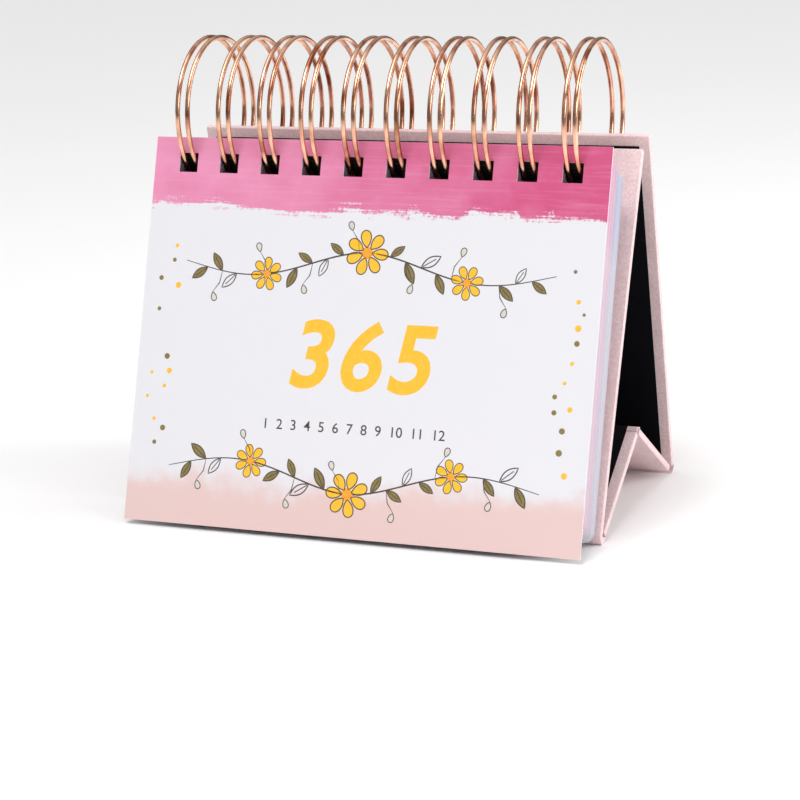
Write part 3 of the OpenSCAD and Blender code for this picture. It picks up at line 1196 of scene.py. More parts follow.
@dataclass
class FoldStrip:
    """The covering paper where it bends from one board to the next, between two angles round its axis."""

    name: str
    axis: Vector
    start: float
    end: float
    tab_start: float = 0.0
    tab_end: float = 0.0
    floor: bool = True
    lined: bool = False
    turn_in: float = 0.0
    steps: int = 24
    smooth_below: float = 35.0

    def radius(self, angle: float) -> float:
        """Outer radius of the strip, pressed flat where it stands on the table.

        Args:
            angle: Where round its axis, in degrees.

        Returns:
            The radius in millimetres.
        """
        rise = math.sin(math.radians(angle))
        if self.floor and rise < 0:
            return min(PLAN.panel_t, PLAN.fold_z / -rise)
        return PLAN.panel_t

    def section(self) -> list[tuple[Point, Point]]:
        """Follows the strip from end to end.

        Returns:
            Pairs of outer and inner points, in millimetres from its axis.
        """
        sweep = self.end - self.start
        stations = [(self.start + sweep * i / self.steps, 0.0) for i in range(self.steps + 1)]
        if self.tab_start > 0:
            stations.insert(0, (self.start, -self.tab_start))
        if self.tab_end > 0:
            stations.append((self.end, self.tab_end))
        pairs = []
        for angle, run in stations:
            moved = along(angle + 90) * run
            outer = along(angle) * self.radius(angle) + moved
            inner = along(angle) * (PLAN.panel_t - PLAN.strip_t) + moved
            pairs.append(((outer.y, outer.z), (inner.y, inner.z)))
        return pairs

    def build(self) -> Piece:
        """Builds the strip as a closed band of paper.

        Returns:
            The strip's object, not yet handed to a body.
        """
        bm = bmesh.new()
        half = PLAN.panel_w / 2
        xs = [-half, PLAN.margin - half, half - PLAN.margin, half] if self.lined else [-half, half]
        rows = [[[bm.verts.new((x, *p)) for x in xs] for p in pair] for pair in self.section()]
        for (out_a, in_a), (out_b, in_b) in zip(rows, rows[1:]):
            for k in range(len(xs) - 1):
                face = bm.faces.new([out_a[k], out_a[k + 1], out_b[k + 1], out_b[k]])
                face.material_index = 1 if self.lined and k == 1 else 0
                bm.faces.new([in_a[k], in_b[k], in_b[k + 1], in_a[k + 1]])
            for k in (0, -1):
                bm.faces.new([out_a[k], out_b[k], in_b[k], in_a[k]])
        for out, inner in (rows[0], rows[-1]):
            for k in range(len(xs) - 1):
                bm.faces.new([out[k], out[k + 1], inner[k + 1], inner[k]])
        if self.turn_in > 0:
            self.close_end(bm, -half, self.turn_in - half)
            self.close_end(bm, half - self.turn_in, half)
        mesh = mesh_of(bm, Matrix.Translation(self.axis) @ Matrix.Scale(MM, 4), self.smooth_below)
        strip = add_object(f"{self.name}_strip", mesh, [Paper.COVERING.material(), Paper.LINING.material()])
        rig.replaces(strip, f"{self.name}_hinge")
        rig.slot(strip, "lining_paper" if self.lined else "covering_paper")
        return strip

    def close_end(self, bm: Sheet, x0: float, x1: float) -> None:
        """Fills the bend with the paper that is turned in at its end.

        Args:
            bm: The strip, in millimetres from its axis.
            x0: Where the turned-in paper begins.
            x1: Where it ends.
        """
        rim = [inner for _, inner in self.section()] + [(0.0, 0.0)]
        first, second = ([bm.verts.new((x, y, z)) for y, z in rim] for x in (x0, x1))
        bm.faces.new(first)
        bm.faces.new(list(reversed(second)))
        for i in range(len(rim)):
            j = (i + 1) % len(rim)
            bm.faces.new([first[i], second[i], second[j], first[j]])

    def end_point(self, angle: float, run: float) -> Vector:
        """Point of the strip's outer face at an angle, moved along by run, in metres."""
        return self.axis + (along(angle) * PLAN.panel_t + along(angle + 90) * run) * MM

    @property
    def first_end(self) -> Vector:
        """Middle of the strip's edge where it starts."""
        return self.end_point(self.start, -self.tab_start)

    @property
    def last_end(self) -> Vector:
        """Middle of the strip's edge where it ends."""
        return self.end_point(self.end, self.tab_end)


@dataclass
class EaselFolds:
    """The three bends of covering paper that join the four boards."""

    turn_in: float = 1.0
    rear_from: float = 254.0

    def build(self) -> list[Piece]:
        """Builds the strips; the front and the peak one bend with their boards.

        Returns:
            The three strips.
        """
        front = FoldStrip(
            "front_fold",
            PLAN.front_fold,
            180 - PLAN.front_lean,
            PLAN.base_front_up + 270,
            tab_end=PLAN.front_end_gap - PLAN.fold_play,
            turn_in=self.turn_in,
        )
        peak = FoldStrip(
            "peak_fold",
            PLAN.peak,
            90 - PLAN.base_rear_slope,
            PLAN.base_front_up + 90,
            PLAN.peak_end_gap - PLAN.fold_play,
            PLAN.peak_end_gap,
            floor=False,
            lined=True,
        )
        rear = FoldStrip("rear_fold", PLAN.rear_fold, self.rear_from, PLAN.back_lean + 360)
        pieces = [strip.build() for strip in (front, peak, rear)]
        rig.blend(pieces[0], "front_panel", "base_front", start=front.first_end, end=front.last_end)
        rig.blend(pieces[1], "base_front", "base_rear", start=peak.last_end, end=peak.first_end)
        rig.ride(pieces[2], "back_panel")
        return pieces


@dataclass
class TwinLoopWire:
    """One length of wire bent into twin loops that close against their own spine."""

    pair: float = 3.06
    bend_r: float = 1.3
    seam_front: float = 253.0
    seam_rear: float = 268.0
    arm_steps: int = 84
    bend_steps: int = 8
    pin_steps: int = 16
    sides: int = 14

    def place(self, x: float, angle: float, run: float) -> Vector:
        """Point of the wire's middle line at an angle round the loop, moved along the loop by run."""
        flat = along(angle) * PLAN.ring_r + along(angle + 90) * run
        return PLAN.ring + Vector((x, flat.y, flat.z)) * MM

    def loop_line(self, x: float) -> list[Vector]:
        """Middle line of one twin loop, from its left spine bend to its right one.

        Args:
            x: Place of the loop across the calendar.

        Returns:
            The points of the line.
        """
        half, r, rear, front = self.pair / 2, self.bend_r, self.seam_rear, self.seam_front
        sweep = 360 + front - rear
        quarter = [math.radians(90 * i / self.bend_steps) for i in range(self.bend_steps + 1)]
        turn = [math.radians(180 * i / self.pin_steps) for i in range(self.pin_steps + 1)]
        arm = [sweep * i / self.arm_steps for i in range(1, self.arm_steps)]
        left_bend = [self.place(x - half - r + r * math.sin(q), rear, -r * math.cos(q)) for q in quarter]
        left_arm = [self.place(x - half, rear + q, 0.0) for q in arm]
        pin = [self.place(x - half * math.cos(q), front, half * math.sin(q)) for q in turn]
        right_arm = [self.place(x + half, front - q, 0.0) for q in arm]
        right_bend = [self.place(x + half + r - r * math.cos(q), rear, -r * math.sin(q)) for q in quarter]
        return left_bend + left_arm + pin + right_arm + right_bend

    def middle_line(self) -> list[Vector]:
        """Middle line of the whole wire, with half a spine bar at each cut end.

        Returns:
            The points of the line.
        """
        centres = PLAN.holes.centres()
        reach = PLAN.holes.count * PLAN.holes.pitch / 2
        first, last = (self.place(x, self.seam_rear, -self.bend_r) for x in (-reach, reach))
        return [first] + [point for x in centres for point in self.loop_line(x)] + [last]

    def tube_tree(self) -> Tree:
        """Builds the tree that draws a round wire along a line of points.

        Returns:
            The geometry tree.
        """
        inputs = {"Line": "Geometry", "Radius": "Float", "Sides": "Int", "Finish": "Material"}
        tree, given = start_tree("round wire", inputs, "Wire")
        line = add_node(tree, "GeometryNodeMeshToCurve", {"Mesh": given["Line"]})[0]
        circle = {"Resolution": given["Sides"], "Radius": given["Radius"]}
        profile = add_node(tree, "GeometryNodeCurvePrimitiveCircle", circle)[0]
        sweep = {"Curve": line, "Profile Curve": profile, "Fill Caps": True}
        tube = add_node(tree, "GeometryNodeCurveToMesh", sweep)[0]
        smooth = add_node(tree, "GeometryNodeSetShadeSmooth", {0: tube})[0]
        end_tree(tree, smooth, [(True, given["Finish"])])
        return tree

    def build(self) -> Piece:
        """Bends the wire and hands it to the front panel.

        Returns:
            The wire's object.
        """
        points = self.middle_line()
        mesh = bpy.data.meshes.new("wire_line")
        mesh.from_pydata([tuple(p) for p in points], [(i, i + 1) for i in range(len(points) - 1)], [])
        wire = add_object("copper_loops", mesh)
        sizes = {"Radius": PLAN.wire_d / 2 * MM, "Sides": self.sides}
        grow(wire, self.tube_tree(), {**sizes, "Finish": CopperFinish().material()})
        return hand_over(wire, "front_panel", "copper_wire", "twin_loop_wire")


@dataclass
class PagePad:
    """The pad behind the cover: twelve month sections, each a stack of loose leaves."""

    leaves: int = 8
    leaf_share: float = 0.88
    slip_x: float = 0.05
    slip_y: float = 0.04
    rose_months: int = 7

    def stack_tree(self) -> Tree:
        """Builds the tree that piles up one leaf with a little slip from leaf to leaf.

        Returns:
            The geometry tree.
        """
        inputs = {"Leaf": "Geometry", "Count": "Int", "Step": "Vector", "Slip": "Vector", "Seed": "Int"}
        labels = ("Finish", "Face Finish", "Hole Finish")
        tree, given = start_tree("leaf stack", inputs | dict.fromkeys(labels, "Material"), "Stack")
        spacing = {"Count": given["Count"], "Offset": given["Step"]}
        row = add_node(tree, "GeometryNodeMeshLine", spacing, mode="OFFSET")[0]
        less = add_node(tree, "ShaderNodeVectorMath", {0: given["Slip"], "Scale": -1.0}, operation="SCALE")[0]
        limits = {0: less, 1: given["Slip"], "Seed": given["Seed"]}
        slip = add_node(tree, "FunctionNodeRandomValue", limits, data_type="FLOAT_VECTOR")[0]
        moved = add_node(tree, "GeometryNodeSetPosition", {"Geometry": row, "Offset": slip})[0]
        copies = {"Points": moved, "Instance": given["Leaf"]}
        pile = add_node(tree, "GeometryNodeInstanceOnPoints", copies)[0]
        shade = add_node(tree, "FunctionNodeRandomValue", {"Seed": given["Seed"]}, data_type="FLOAT")[1]
        tone = {"Geometry": pile, "Name": "leaf_tone", "Value": shade}
        kind = {"data_type": "FLOAT", "domain": "INSTANCE"}
        toned = add_node(tree, "GeometryNodeStoreNamedAttribute", tone, **kind)[0]
        finishes: list[tuple[Socket | bool, Socket]] = [(True, given["Finish"])]
        for label in ("face", "hole"):
            named = add_node(tree, "GeometryNodeInputNamedAttribute", {"Name": label}, data_type="BOOLEAN")
            finishes.append((named["Attribute"], given[f"{label.title()} Finish"]))
        end_tree(tree, toned, finishes)
        return tree

    def leaf(self, thickness: float, place: Matrix) -> Mesh:
        """Builds one leaf that knows its faces from its hole walls and its edges.

        Args:
            thickness: Thickness of the leaf.
            place: Frame of the leaf.

        Returns:
            The leaf's mesh, with its millimetres kept as a UV map.
        """
        sizes = PlateSizes(PLAN.page_w, 0.0, PLAN.page_h, 0.0, thickness, PLAN.hole_drop, PLAN.page_corner_r)
        bm = punched_plate(sizes, PLAN.holes)
        map_print(bm)
        for face in bm.faces:
            if abs(face.normal.z) > FLAT:
                face.material_index = SIDE
        mesh = mesh_of(bm, place)
        for label, index in (("hole", HOLE), ("face", SIDE)):
            chosen = [face.material_index == index for face in mesh.polygons]
            mesh.attributes.new(label, "BOOLEAN", "FACE").data.foreach_set("value", chosen)
        return mesh

    def build(self) -> list[Piece]:
        """Piles up the leaves of every month and hands each pile to its body.

        Returns:
            The twelve piles.
        """
        tree = self.stack_tree()
        step_t = PLAN.section_t / self.leaves
        leaf_t = step_t * self.leaf_share
        pieces = []
        for month in range(1, PLAN.months + 1):
            place = PLAN.leaf_matrix(PLAN.section_u(month), PLAN.section_t)
            node = f"month_{month:02d}_leaves"
            tint = "ROSE" if month <= self.rose_months else "BLUE"
            pile = add_object(f"month_{month:02d}_pages", self.leaf(leaf_t, place))
            values = {
                "Count": self.leaves,
                "Step": place.to_3x3() @ Vector((0.0, 0.0, step_t)),
                "Slip": place.to_3x3() @ Vector((self.slip_x, self.slip_y, 0.0)),
                "Seed": month,
                "Finish": PageTone[tint].material(),
                "Face Finish": PageFace[tint].material(),
                # The holes' walls take the near-black painted shade
                "Hole Finish": Paper.PUNCHED.material(),
            }
            grow(pile, tree, values)
            pieces.append(hand_over(pile, node, self.slot(month), node))
        return pieces

    def slot(self, month: int) -> str:
        """Names the material slot of a month's pages."""
        return "page_paper_front" if month <= self.rose_months else "page_paper_rear"


@dataclass
class FrontCover:
    """The printed card in front of the pad."""

    edge_r: float = 0.08
    edge_steps: int = 2

    def build(self) -> Piece:
        """Builds the card, with its print on the front face only.

        Returns:
            The card's object.
        """
        sizes = PlateSizes(PLAN.cover_w, 0.0, PLAN.cover_h, 0.0, PLAN.cover_t, PLAN.hole_drop)
        bm = punched_plate(sizes, PLAN.holes)
        soften_rim(bm, self.edge_r, self.edge_steps)
        map_print(bm)
        for face in bm.faces:
            face.material_index = 0 if face.normal.z < -FLAT else 1
        mesh = mesh_of(bm, PLAN.leaf_matrix(PLAN.cover_u, PLAN.cover_t))
        materials = [PrintedCardFinish().material(), Paper.CARD_BACK.material()]
        cover = add_object("printed_cover", mesh, materials)
        return hand_over(cover, "front_cover", "cover_card", "front_cover")


# The print on the cover: numerals, two garlands and a scatter of dots


class Motif(Enum):
    """The small shapes that the print repeats."""

    LEAF = auto()
    LEAF_LINE = auto()
    DAISY = auto()
    DAISY_LINE = auto()
    HEART = auto()
    BUD = auto()
    BUD_LINE = auto()
    DOT = auto()


@dataclass(frozen=True)
class Spot:
    """One place where a motif is printed: where, how large and how far it is turned."""

    x: float
    y: float
    size: float
    turn: float = 0.0

    def clear_of(self, flowers: Sequence[Spot], play: float = 0.4) -> bool:
        """Says whether a motif that grows from here stays off every flower.

        Args:
            flowers: The flowers, whose size is their radius.
            play: The least distance between the two.

        Returns:
            True where neither its foot, its middle nor its tip comes too near.
        """
        turn = math.radians(self.turn)
        for share in (0.0, 0.5, 1.0):
            x = self.x - math.sin(turn) * self.size * share
            y = self.y + math.cos(turn) * self.size * share
            if any(math.hypot(x - f.x, y - f.y) < f.size + play for f in flowers):
                return False
        return True


def lens(length: float, width: float, belly: float = 0.85, steps: int = 10) -> list[Point]:
    """Outline of a pointed leaf that grows from the origin along +Y.

    Args:
        length: Length of the leaf.
        width: Its greatest width.
        belly: How soon it widens; less is sooner.
        steps: Number of points along each side.

    Returns:
        The outline, counter-clockwise.
    """
    rise = [i / steps for i in range(steps + 1)]
    right = [(width / 2 * math.sin(math.pi * t) ** belly, length * t) for t in rise]
    return right + [(-x, y) for x, y in reversed(right[1:-1])]


def drop(length: float, width: float, neck: float = 0.6, steps: int = 20) -> list[Point]:
    """Outline of a round bud on a short neck that grows from the origin along +Y.

    Args:
        length: Length of the bud.
        width: Its width, a little more than it shows.
        neck: How slender its neck is.
        steps: Number of points round it.

    Returns:
        The outline, counter-clockwise.
    """
    turns = [2 * math.pi * i / steps for i in range(steps)]
    halves = [width / 2 * math.sin(a) * math.sin(a / 2) ** neck for a in turns]
    return [(x, length * (1 - math.cos(a)) / 2) for x, a in zip(halves, turns)]


def disc(radius: float, steps: int = 14) -> list[Point]:
    """Outline of a disc about the origin."""
    turns = [2 * math.pi * i / steps for i in range(steps)]
    return [(radius * math.cos(a), radius * math.sin(a)) for a in turns]


def turned(points: Iterable[Point], degrees: float) -> list[Point]:
    """Turns an outline about the origin."""
    c, s = math.cos(math.radians(degrees)), math.sin(math.radians(degrees))
    return [(x * c - y * s, x * s + y * c) for x, y in points]


def set_aside(point: Point, before: Point, after: Point, width: float) -> Point:
    """Moves a point of a line to the left of the line.

    Args:
        point: The point.
        before: The line's point before it.
        after: The line's point after it.
        width: How far it moves; less than zero is to the right.

    Returns:
        The moved point.
    """
    dx, dy = after[0] - before[0], after[1] - before[1]
    length = math.hypot(dx, dy) or 1.0
    return (point[0] - dy / length * width, point[1] + dx / length * width)


@dataclass
class InkShapes:
    """Collects flat printed shapes as closed films of ink between two heights above the paper."""

    low: float
    high: float
    bm: Sheet = field(default_factory=bmesh.new)

    def patch(self, points: Sequence[Point]) -> None:
        """Adds a filled outline.

        Args:
            points: The outline, counter-clockwise.
        """
        floor = [self.bm.verts.new((x, y, self.low)) for x, y in points]
        roof = [self.bm.verts.new((x, y, self.high)) for x, y in points]
        self.bm.faces.new(list(reversed(floor)))
        self.bm.faces.new(roof)
        for i in range(len(points)):
            j = (i + 1) % len(points)
            self.bm.faces.new([floor[i], floor[j], roof[j], roof[i]])

    def line(self, first: Sequence[Point], second: Sequence[Point], closed: bool = False) -> None:
        """Adds the band between two rows of points.

        Args:
            first: One side of the band.
            second: The other side, with as many points.
            closed: Whether its ends meet.
        """
        count = len(first)
        sides = ((first, self.low), (second, self.low), (second, self.high), (first, self.high))
        rows = [[self.bm.verts.new((x, y, z)) for x, y in row] for row, z in sides]
        for i in range(count if closed else count - 1):
            j = (i + 1) % count
            for a, b in zip(rows, rows[1:] + rows[:1]):
                self.bm.faces.new([a[i], a[j], b[j], b[i]])
        if not closed:
            self.bm.faces.new([row[0] for row in rows])
            self.bm.faces.new([row[-1] for row in reversed(rows)])

    def outline(self, points: Sequence[Point], width: float) -> None:
        """Adds the line along an outline, inside it.

        Args:
            points: The outline, counter-clockwise.
            width: Width of the line.
        """
        following = [*points[1:], points[0]]
        inner = [set_aside(p, points[i - 1], following[i], width) for i, p in enumerate(points)]
        self.line(points, inner, closed=True)

    def stroke(self, points: Sequence[Point], width: float, tip: float = 0.45) -> None:
        """Adds an open line that thins out at its ends.

        Args:
            points: The middle line.
            width: Its width in the middle.
            tip: Share of that width at the ends.
        """
        last = len(points) - 1
        sides: tuple[list[Point], list[Point]] = ([], [])
        for i, point in enumerate(points):
            before, after = points[max(i - 1, 0)], points[min(i + 1, last)]
            half = width / 2 * (tip + (1 - tip) * math.sin(math.pi * i / last))
            sides[0].append(set_aside(point, before, after, -half))
            sides[1].append(set_aside(point, before, after, half))
        self.line(*sides)


@dataclass(frozen=True)
class TypeStyle:
    """How a row of plain numerals is set."""

    size: float
    bold: float = 0.0
    slant: float = 0.0
    spread: float = 1.0
    steps: int = 2

    def mesh(self, body: str, film: float) -> Mesh:
        """Sets numerals about the origin as a closed film of ink.

        Args:
            body: The numerals.
            film: Thickness of the ink.

        Returns:
            The film's mesh, with its lower face at a height of zero.
        """
        curve = bpy.data.curves.new("type", "FONT")
        curve.body = body
        curve.size = self.size
        curve.offset = self.bold
        curve.space_character = self.spread
        curve.shear = self.slant
        curve.extrude = film / 2
        curve.align_x = "CENTER"
        curve.align_y = "CENTER"
        curve.resolution_u = self.steps
        text = add_object("type", curve)
        mesh = settled(text)
        bpy.data.objects.remove(text)
        mesh.transform(Matrix.Translation((0.0, 0.0, film / 2)))
        return mesh


@dataclass
class PagePrint:
    """Plain numerals on the first page of each month: its own number over a grid of its days."""

    film: float = 0.012
    month_type: TypeStyle = TypeStyle(12.0, bold=0.12)
    day_type: TypeStyle = TypeStyle(5.4)
    month_y: float = -28.0
    first_row_y: float = -43.0
    row_mm: float = 11.0
    column_mm: float = 16.0
    columns: int = 7

    def build(self, pad: PagePad) -> list[Piece]:
        """Prints the twelve pages and hands each print to its month's body.

        Args:
            pad: The pad that is printed.

        Returns:
            The twelve prints.
        """
        numbers = [self.day_type.mesh(str(day), self.film) for day in range(1, max(calendar.mdays) + 1)]
        pieces = []
        for month in range(1, PLAN.months + 1):
            bm = bmesh.new()
            rows = [(self.month_type.mesh(str(month), self.film), 0.0, self.month_y)]
            for day in range(calendar.mdays[month]):
                row, column = divmod(day, self.columns)
                x = (column - (self.columns - 1) / 2) * self.column_mm
                rows.append((numbers[day].copy(), x, self.first_row_y - row * self.row_mm))
            for mesh, x, y in rows:
                mesh.transform(Matrix.Translation((x, y, 0.0)))
                bm.from_mesh(mesh)
            mesh = mesh_of(bm, PLAN.print_matrix(PLAN.section_u(month), PLAN.section_t))
            page = add_object(f"month_{month:02d}_numerals", mesh, [Ink.UMBER.material()])
            pieces.append(hand_over(page, f"month_{month:02d}_leaves", pad.slot(month)))
        return pieces


@dataclass(frozen=True)
class Garland:
    """One swag across the cover: a swaying stem with daisies, leaves on both sides and buds on stalks."""

    y: float
    rise: float
    reach: float = 55.0
    steps: int = 48
    sways: float = 0.75
    fade: float = 0.35
    daisies: tuple[Point, ...] = ((0.5, 6.4), (0.23, 4.8), (0.77, 4.8))
    leaf_at: range = range(3, 47, 2)
    plain_every: int = 3
    leaf_mm: float = 5.2
    leaf_more_mm: float = 1.6
    leaf_lean: float = 48.0
    bud_at: range = range(5, 45, 6)
    bud_mm: float = 2.8
    bud_lean: float = 18.0
    stalk: tuple[Point, Point] = ((0.6, 3.4), (2.5, 6.0))

    def stem(self) -> list[Point]:
        """Middle line of the stem.

        Returns:
            Its points from left to right.
        """
        line = []
        for i in range(self.steps + 1):
            t = 2 * i / self.steps - 1
            sway = self.rise * math.cos(2 * math.pi * self.sways * t) * (1 - self.fade * abs(t))
            line.append((self.reach * t, self.y + sway))
        return line

    def flowers(self, draw: random.Random) -> list[Spot]:
        """Places of the daisies, each at its share of the stem and turned at random."""
        stem = self.stem()
        return [Spot(*stem[round(at * self.steps)], size, 360 * draw.random()) for at, size in self.daisies]

    def leaves(self, draw: random.Random, flowers: Sequence[Spot]) -> tuple[list[Spot], list[Spot]]:
        """Places of the leaves, which lean outwards on one side of the stem and the other in turn.

        Args:
            draw: Gives the leaves their sizes.
            flowers: The daisies, which stay clear.

        Returns:
            The leaves that are filled and those that are only drawn round.
        """
        stem = self.stem()
        filled: list[Spot] = []
        plain: list[Spot] = []
        for number, i in enumerate(self.leaf_at, 1):
            (ax, ay), (bx, by) = stem[i - 1], stem[i + 1]
            lean = math.degrees(math.atan2(by - ay, bx - ax)) - 90 + (0 if stem[i][0] > 0 else 180)
            side = self.leaf_lean if number % 2 else -self.leaf_lean
            spot = Spot(*stem[i], self.leaf_mm + self.leaf_more_mm * draw.random(), lean + side)
            if spot.clear_of(flowers):
                (filled if number % self.plain_every else plain).append(spot)
        return filled, plain

    def buds(self, flowers: Sequence[Spot]) -> list[tuple[list[Point], Spot]]:
        """Places of the buds, above the stem and below it in turn.

        Args:
            flowers: The daisies, which stay clear.

        Returns:
            Pairs of a stalk's middle line and the bud at its tip.
        """
        stem = self.stem()
        grown = []
        for number, i in enumerate(self.bud_at):
            x, y = stem[i]
            out = 1 if x > 0 else -1
            up = 1 if number % 2 else -1
            middle, tip = ((x + out * dx, y + up * dy) for dx, dy in self.stalk)
            spot = Spot(*tip, self.bud_mm, -out * self.bud_lean + (0 if up > 0 else 180))
            if spot.clear_of(flowers):
                grown.append(([stem[i], middle, tip], spot))
        return grown


@dataclass
class CoverPrint:
    """Plain numerals between two garlands of daisies and leaves, with dots at the sides."""

    film: float = 0.012
    garlands: tuple[Garland, ...] = (Garland(-35.0, 4.2), Garland(-93.0, -4.2))
    stem_line: float = 0.45
    stalk_line: float = 0.3
    motif_line: float = 0.05
    bud_line: float = 0.09
    leaf_width: float = 0.42
    vein: tuple[float, ...] = (0.1, 0.75)
    vein_half: float = 0.02
    bud_width: float = 0.8
    petals: int = 7
    petal_from: float = 0.2
    petal_size: Point = (0.8, 0.62)
    heart_r: float = 0.27
    dot_r: float = 0.5
    side_dots: int = 13
    dots_apart: float = 3.6
    dots_x: Point = (57.0, 7.0)
    dots_y: Point = (-30.0, -58.0)
    dots_size: Point = (0.9, 0.9)
    seed: int = 11
    year_days: str = "365"
    year_y: float = -60.5
    year_type: TypeStyle = TypeStyle(26.0, bold=0.6, slant=0.18, spread=1.14, steps=6)
    month_row: str = "1  2  3  4  5  6  7  8  9  10  11  12"
    month_y: float = -79.5
    month_type: TypeStyle = TypeStyle(4.0, bold=0.02, steps=6)

    def motif_mesh(self, motif: Motif) -> Mesh:
        """Draws one motif one millimetre long; lines and hearts lie on top of the filled shapes.

        Args:
            motif: Which motif.

        Returns:
            Its film of ink.
        """
        leaf, bud = lens(1.0, self.leaf_width), drop(1.0, self.bud_width)
        petal = [(x, y + self.petal_from) for x, y in drop(*self.petal_size)]
        petals = [turned(petal, 360 * k / self.petals) for k in range(self.petals)]
        filled = {
            Motif.LEAF: [leaf],
            Motif.DAISY: petals,
            Motif.HEART: [disc(self.heart_r)],
            Motif.BUD: [bud],
            Motif.DOT: [disc(self.dot_r)],
        }
        lined = {Motif.LEAF_LINE: [leaf], Motif.DAISY_LINE: petals, Motif.BUD_LINE: [bud]}
        layer = 1 if motif in lined or motif is Motif.HEART else 0
        shapes = InkShapes(layer * self.film, (layer + 1) * self.film)
        for outline in filled.get(motif, []):
            shapes.patch(outline)
        for outline in lined.get(motif, []):
            shapes.outline(outline, self.bud_line if motif is Motif.BUD_LINE else self.motif_line)
        if motif is Motif.LEAF_LINE:
            left, right = ([(x, y) for y in self.vein] for x in (-self.vein_half, self.vein_half))
            shapes.line(left, right)
        return mesh_of(shapes.bm)

    def scatter_tree(self) -> Tree:
        """Builds the tree that prints a motif at points that carry its size and turn.

        Returns:
            The geometry tree.
        """
        inputs = {"Points": "Geometry", "Motif": "Object", "Finish": "Material"}
        tree, given = start_tree("printed motif", inputs, "Print")
        shape = add_node(tree, "GeometryNodeObjectInfo", {"Object": given["Motif"]})["Geometry"]
        size, turn = (
            add_node(tree, "GeometryNodeInputNamedAttribute", {"Name": name}, data_type="FLOAT")["Attribute"]
            for name in ("size", "turn")
        )
        euler = add_node(tree, "ShaderNodeCombineXYZ", {"Z": turn})[0]
        scale = add_node(tree, "ShaderNodeCombineXYZ", {"X": size, "Y": size, "Z": 1.0})[0]
        spread = {"Points": given["Points"], "Instance": shape, "Rotation": euler, "Scale": scale}
        copies = add_node(tree, "GeometryNodeInstanceOnPoints", spread)[0]
        end_tree(tree, copies, [(True, given["Finish"])])
        return tree

    def scatter(self, tree: Tree, name: str, motif: Motif, ink: Ink, spots: Sequence[Spot]) -> Piece:
        """Prints a motif at many places on the cover.

        Args:
            tree: The tree that repeats motifs.
            name: Name of the printed piece.
            motif: What is printed.
            ink: Its ink.
            spots: Where it is printed.

        Returns:
            The printed piece.
        """
        shape = add_object(f"{name}_shape", self.motif_mesh(motif))
        mesh = bpy.data.meshes.new(name)
        mesh.from_pydata([(s.x, s.y, 0.0) for s in spots], [], [])
        values = {"size": [s.size for s in spots], "turn": [math.radians(s.turn) for s in spots]}
        for label, column in values.items():
            mesh.attributes.new(label, "FLOAT", "POINT").data.foreach_set("value", column)
        piece = add_object(name, mesh)
        grow(piece, tree, {"Motif": shape, "Finish": ink.material()})
        bpy.data.objects.remove(shape)
        return self.lay(piece)

    def lay(self, piece: Piece) -> Piece:
        """Lays a printed piece on the cover's face and hands it to the cover's body.

        Args:
            piece: The piece, in millimetres from the middle of the cover's top edge.

        Returns:
            The same piece.
        """
        piece.data.transform(PLAN.print_matrix(PLAN.cover_u, PLAN.cover_t))
        piece.data.update()
        return hand_over(piece, "front_cover", "cover_card")

    def numerals(self, name: str, body: str, y: float, style: TypeStyle, ink: Ink) -> Piece:
        """Prints a row of plain numerals.

        Args:
            name: Name of the printed piece.
            body: The numerals.
            y: Height of their middle, measured up from the cover's top edge.
            style: How they are set.
            ink: Their ink.

        Returns:
            The printed piece.
        """
        mesh = style.mesh(body, self.film)
        mesh.transform(Matrix.Translation((0.0, y, 0.0)))
        return self.lay(add_object(name, mesh, [ink.material()]))

    def dots(self, draw: random.Random) -> list[Spot]:
        """Places of the dots, first beside the left edge and then beside the right one.

        Args:
            draw: Gives the dots their places and sizes.

        Returns:
            The dots, none too near another.
        """
        found: list[Spot] = []
        while len(found) < 2 * self.side_dots:
            side = -1 if len(found) < self.side_dots else 1
            x, y, size = (a + b * draw.random() for a, b in (self.dots_x, self.dots_y, self.dots_size))
            if all(math.hypot(side * x - dot.x, y - dot.y) > self.dots_apart for dot in found):
                found.append(Spot(side * x, y, size))
        return found

    def build(self) -> list[Piece]:
        """Prints the whole cover.

        Returns:
            The printed pieces.
        """
        draw = random.Random(self.seed)
        strokes = InkShapes(0.0, self.film)
        leaves: list[Spot] = []
        plain: list[Spot] = []
        buds: list[Spot] = []
        daisies: list[Spot] = []
        for garland in self.garlands:
            strokes.stroke(garland.stem(), self.stem_line)
            daisies += garland.flowers(draw)
            filled, drawn_round = garland.leaves(draw, daisies)
            leaves += filled
            plain += drawn_round
            for stalk, bud in garland.buds(daisies):
                strokes.stroke(stalk, self.stalk_line)
                buds.append(bud)
        dots = self.dots(draw)
        tree = self.scatter_tree()
        pieces = [self.lay(add_object("garland_stems", mesh_of(strokes.bm), [Ink.UMBER.material()]))]
        for name, motif, ink, spots in (
            ("garland_leaves", Motif.LEAF, Ink.OLIVE, leaves),
            ("garland_leaf_lines", Motif.LEAF_LINE, Ink.UMBER, leaves + plain),
            ("garland_buds", Motif.BUD, Ink.STONE, buds),
            ("garland_bud_lines", Motif.BUD_LINE, Ink.UMBER, buds),
            ("garland_daisies", Motif.DAISY, Ink.YELLOW, daisies),
            ("garland_daisy_lines", Motif.DAISY_LINE, Ink.UMBER, daisies),
            ("garland_daisy_hearts", Motif.HEART, Ink.ORANGE, daisies),
            ("yellow_dots", Motif.DOT, Ink.YELLOW, dots[::2]),
            ("olive_dots", Motif.DOT, Ink.OLIVE, dots[1::2]),
        ):
            pieces.append(self.scatter(tree, name, motif, ink, spots))
        for name, body, y, style, ink in (
            ("day_count_numerals", self.year_days, self.year_y, self.year_type, Ink.YELLOW),
            ("month_numerals", self.month_row, self.month_y, self.month_type, Ink.UMBER),
        ):
            pieces.append(self.numerals(name, body, y, style, ink))
        return pieces


# Stage, light and camera


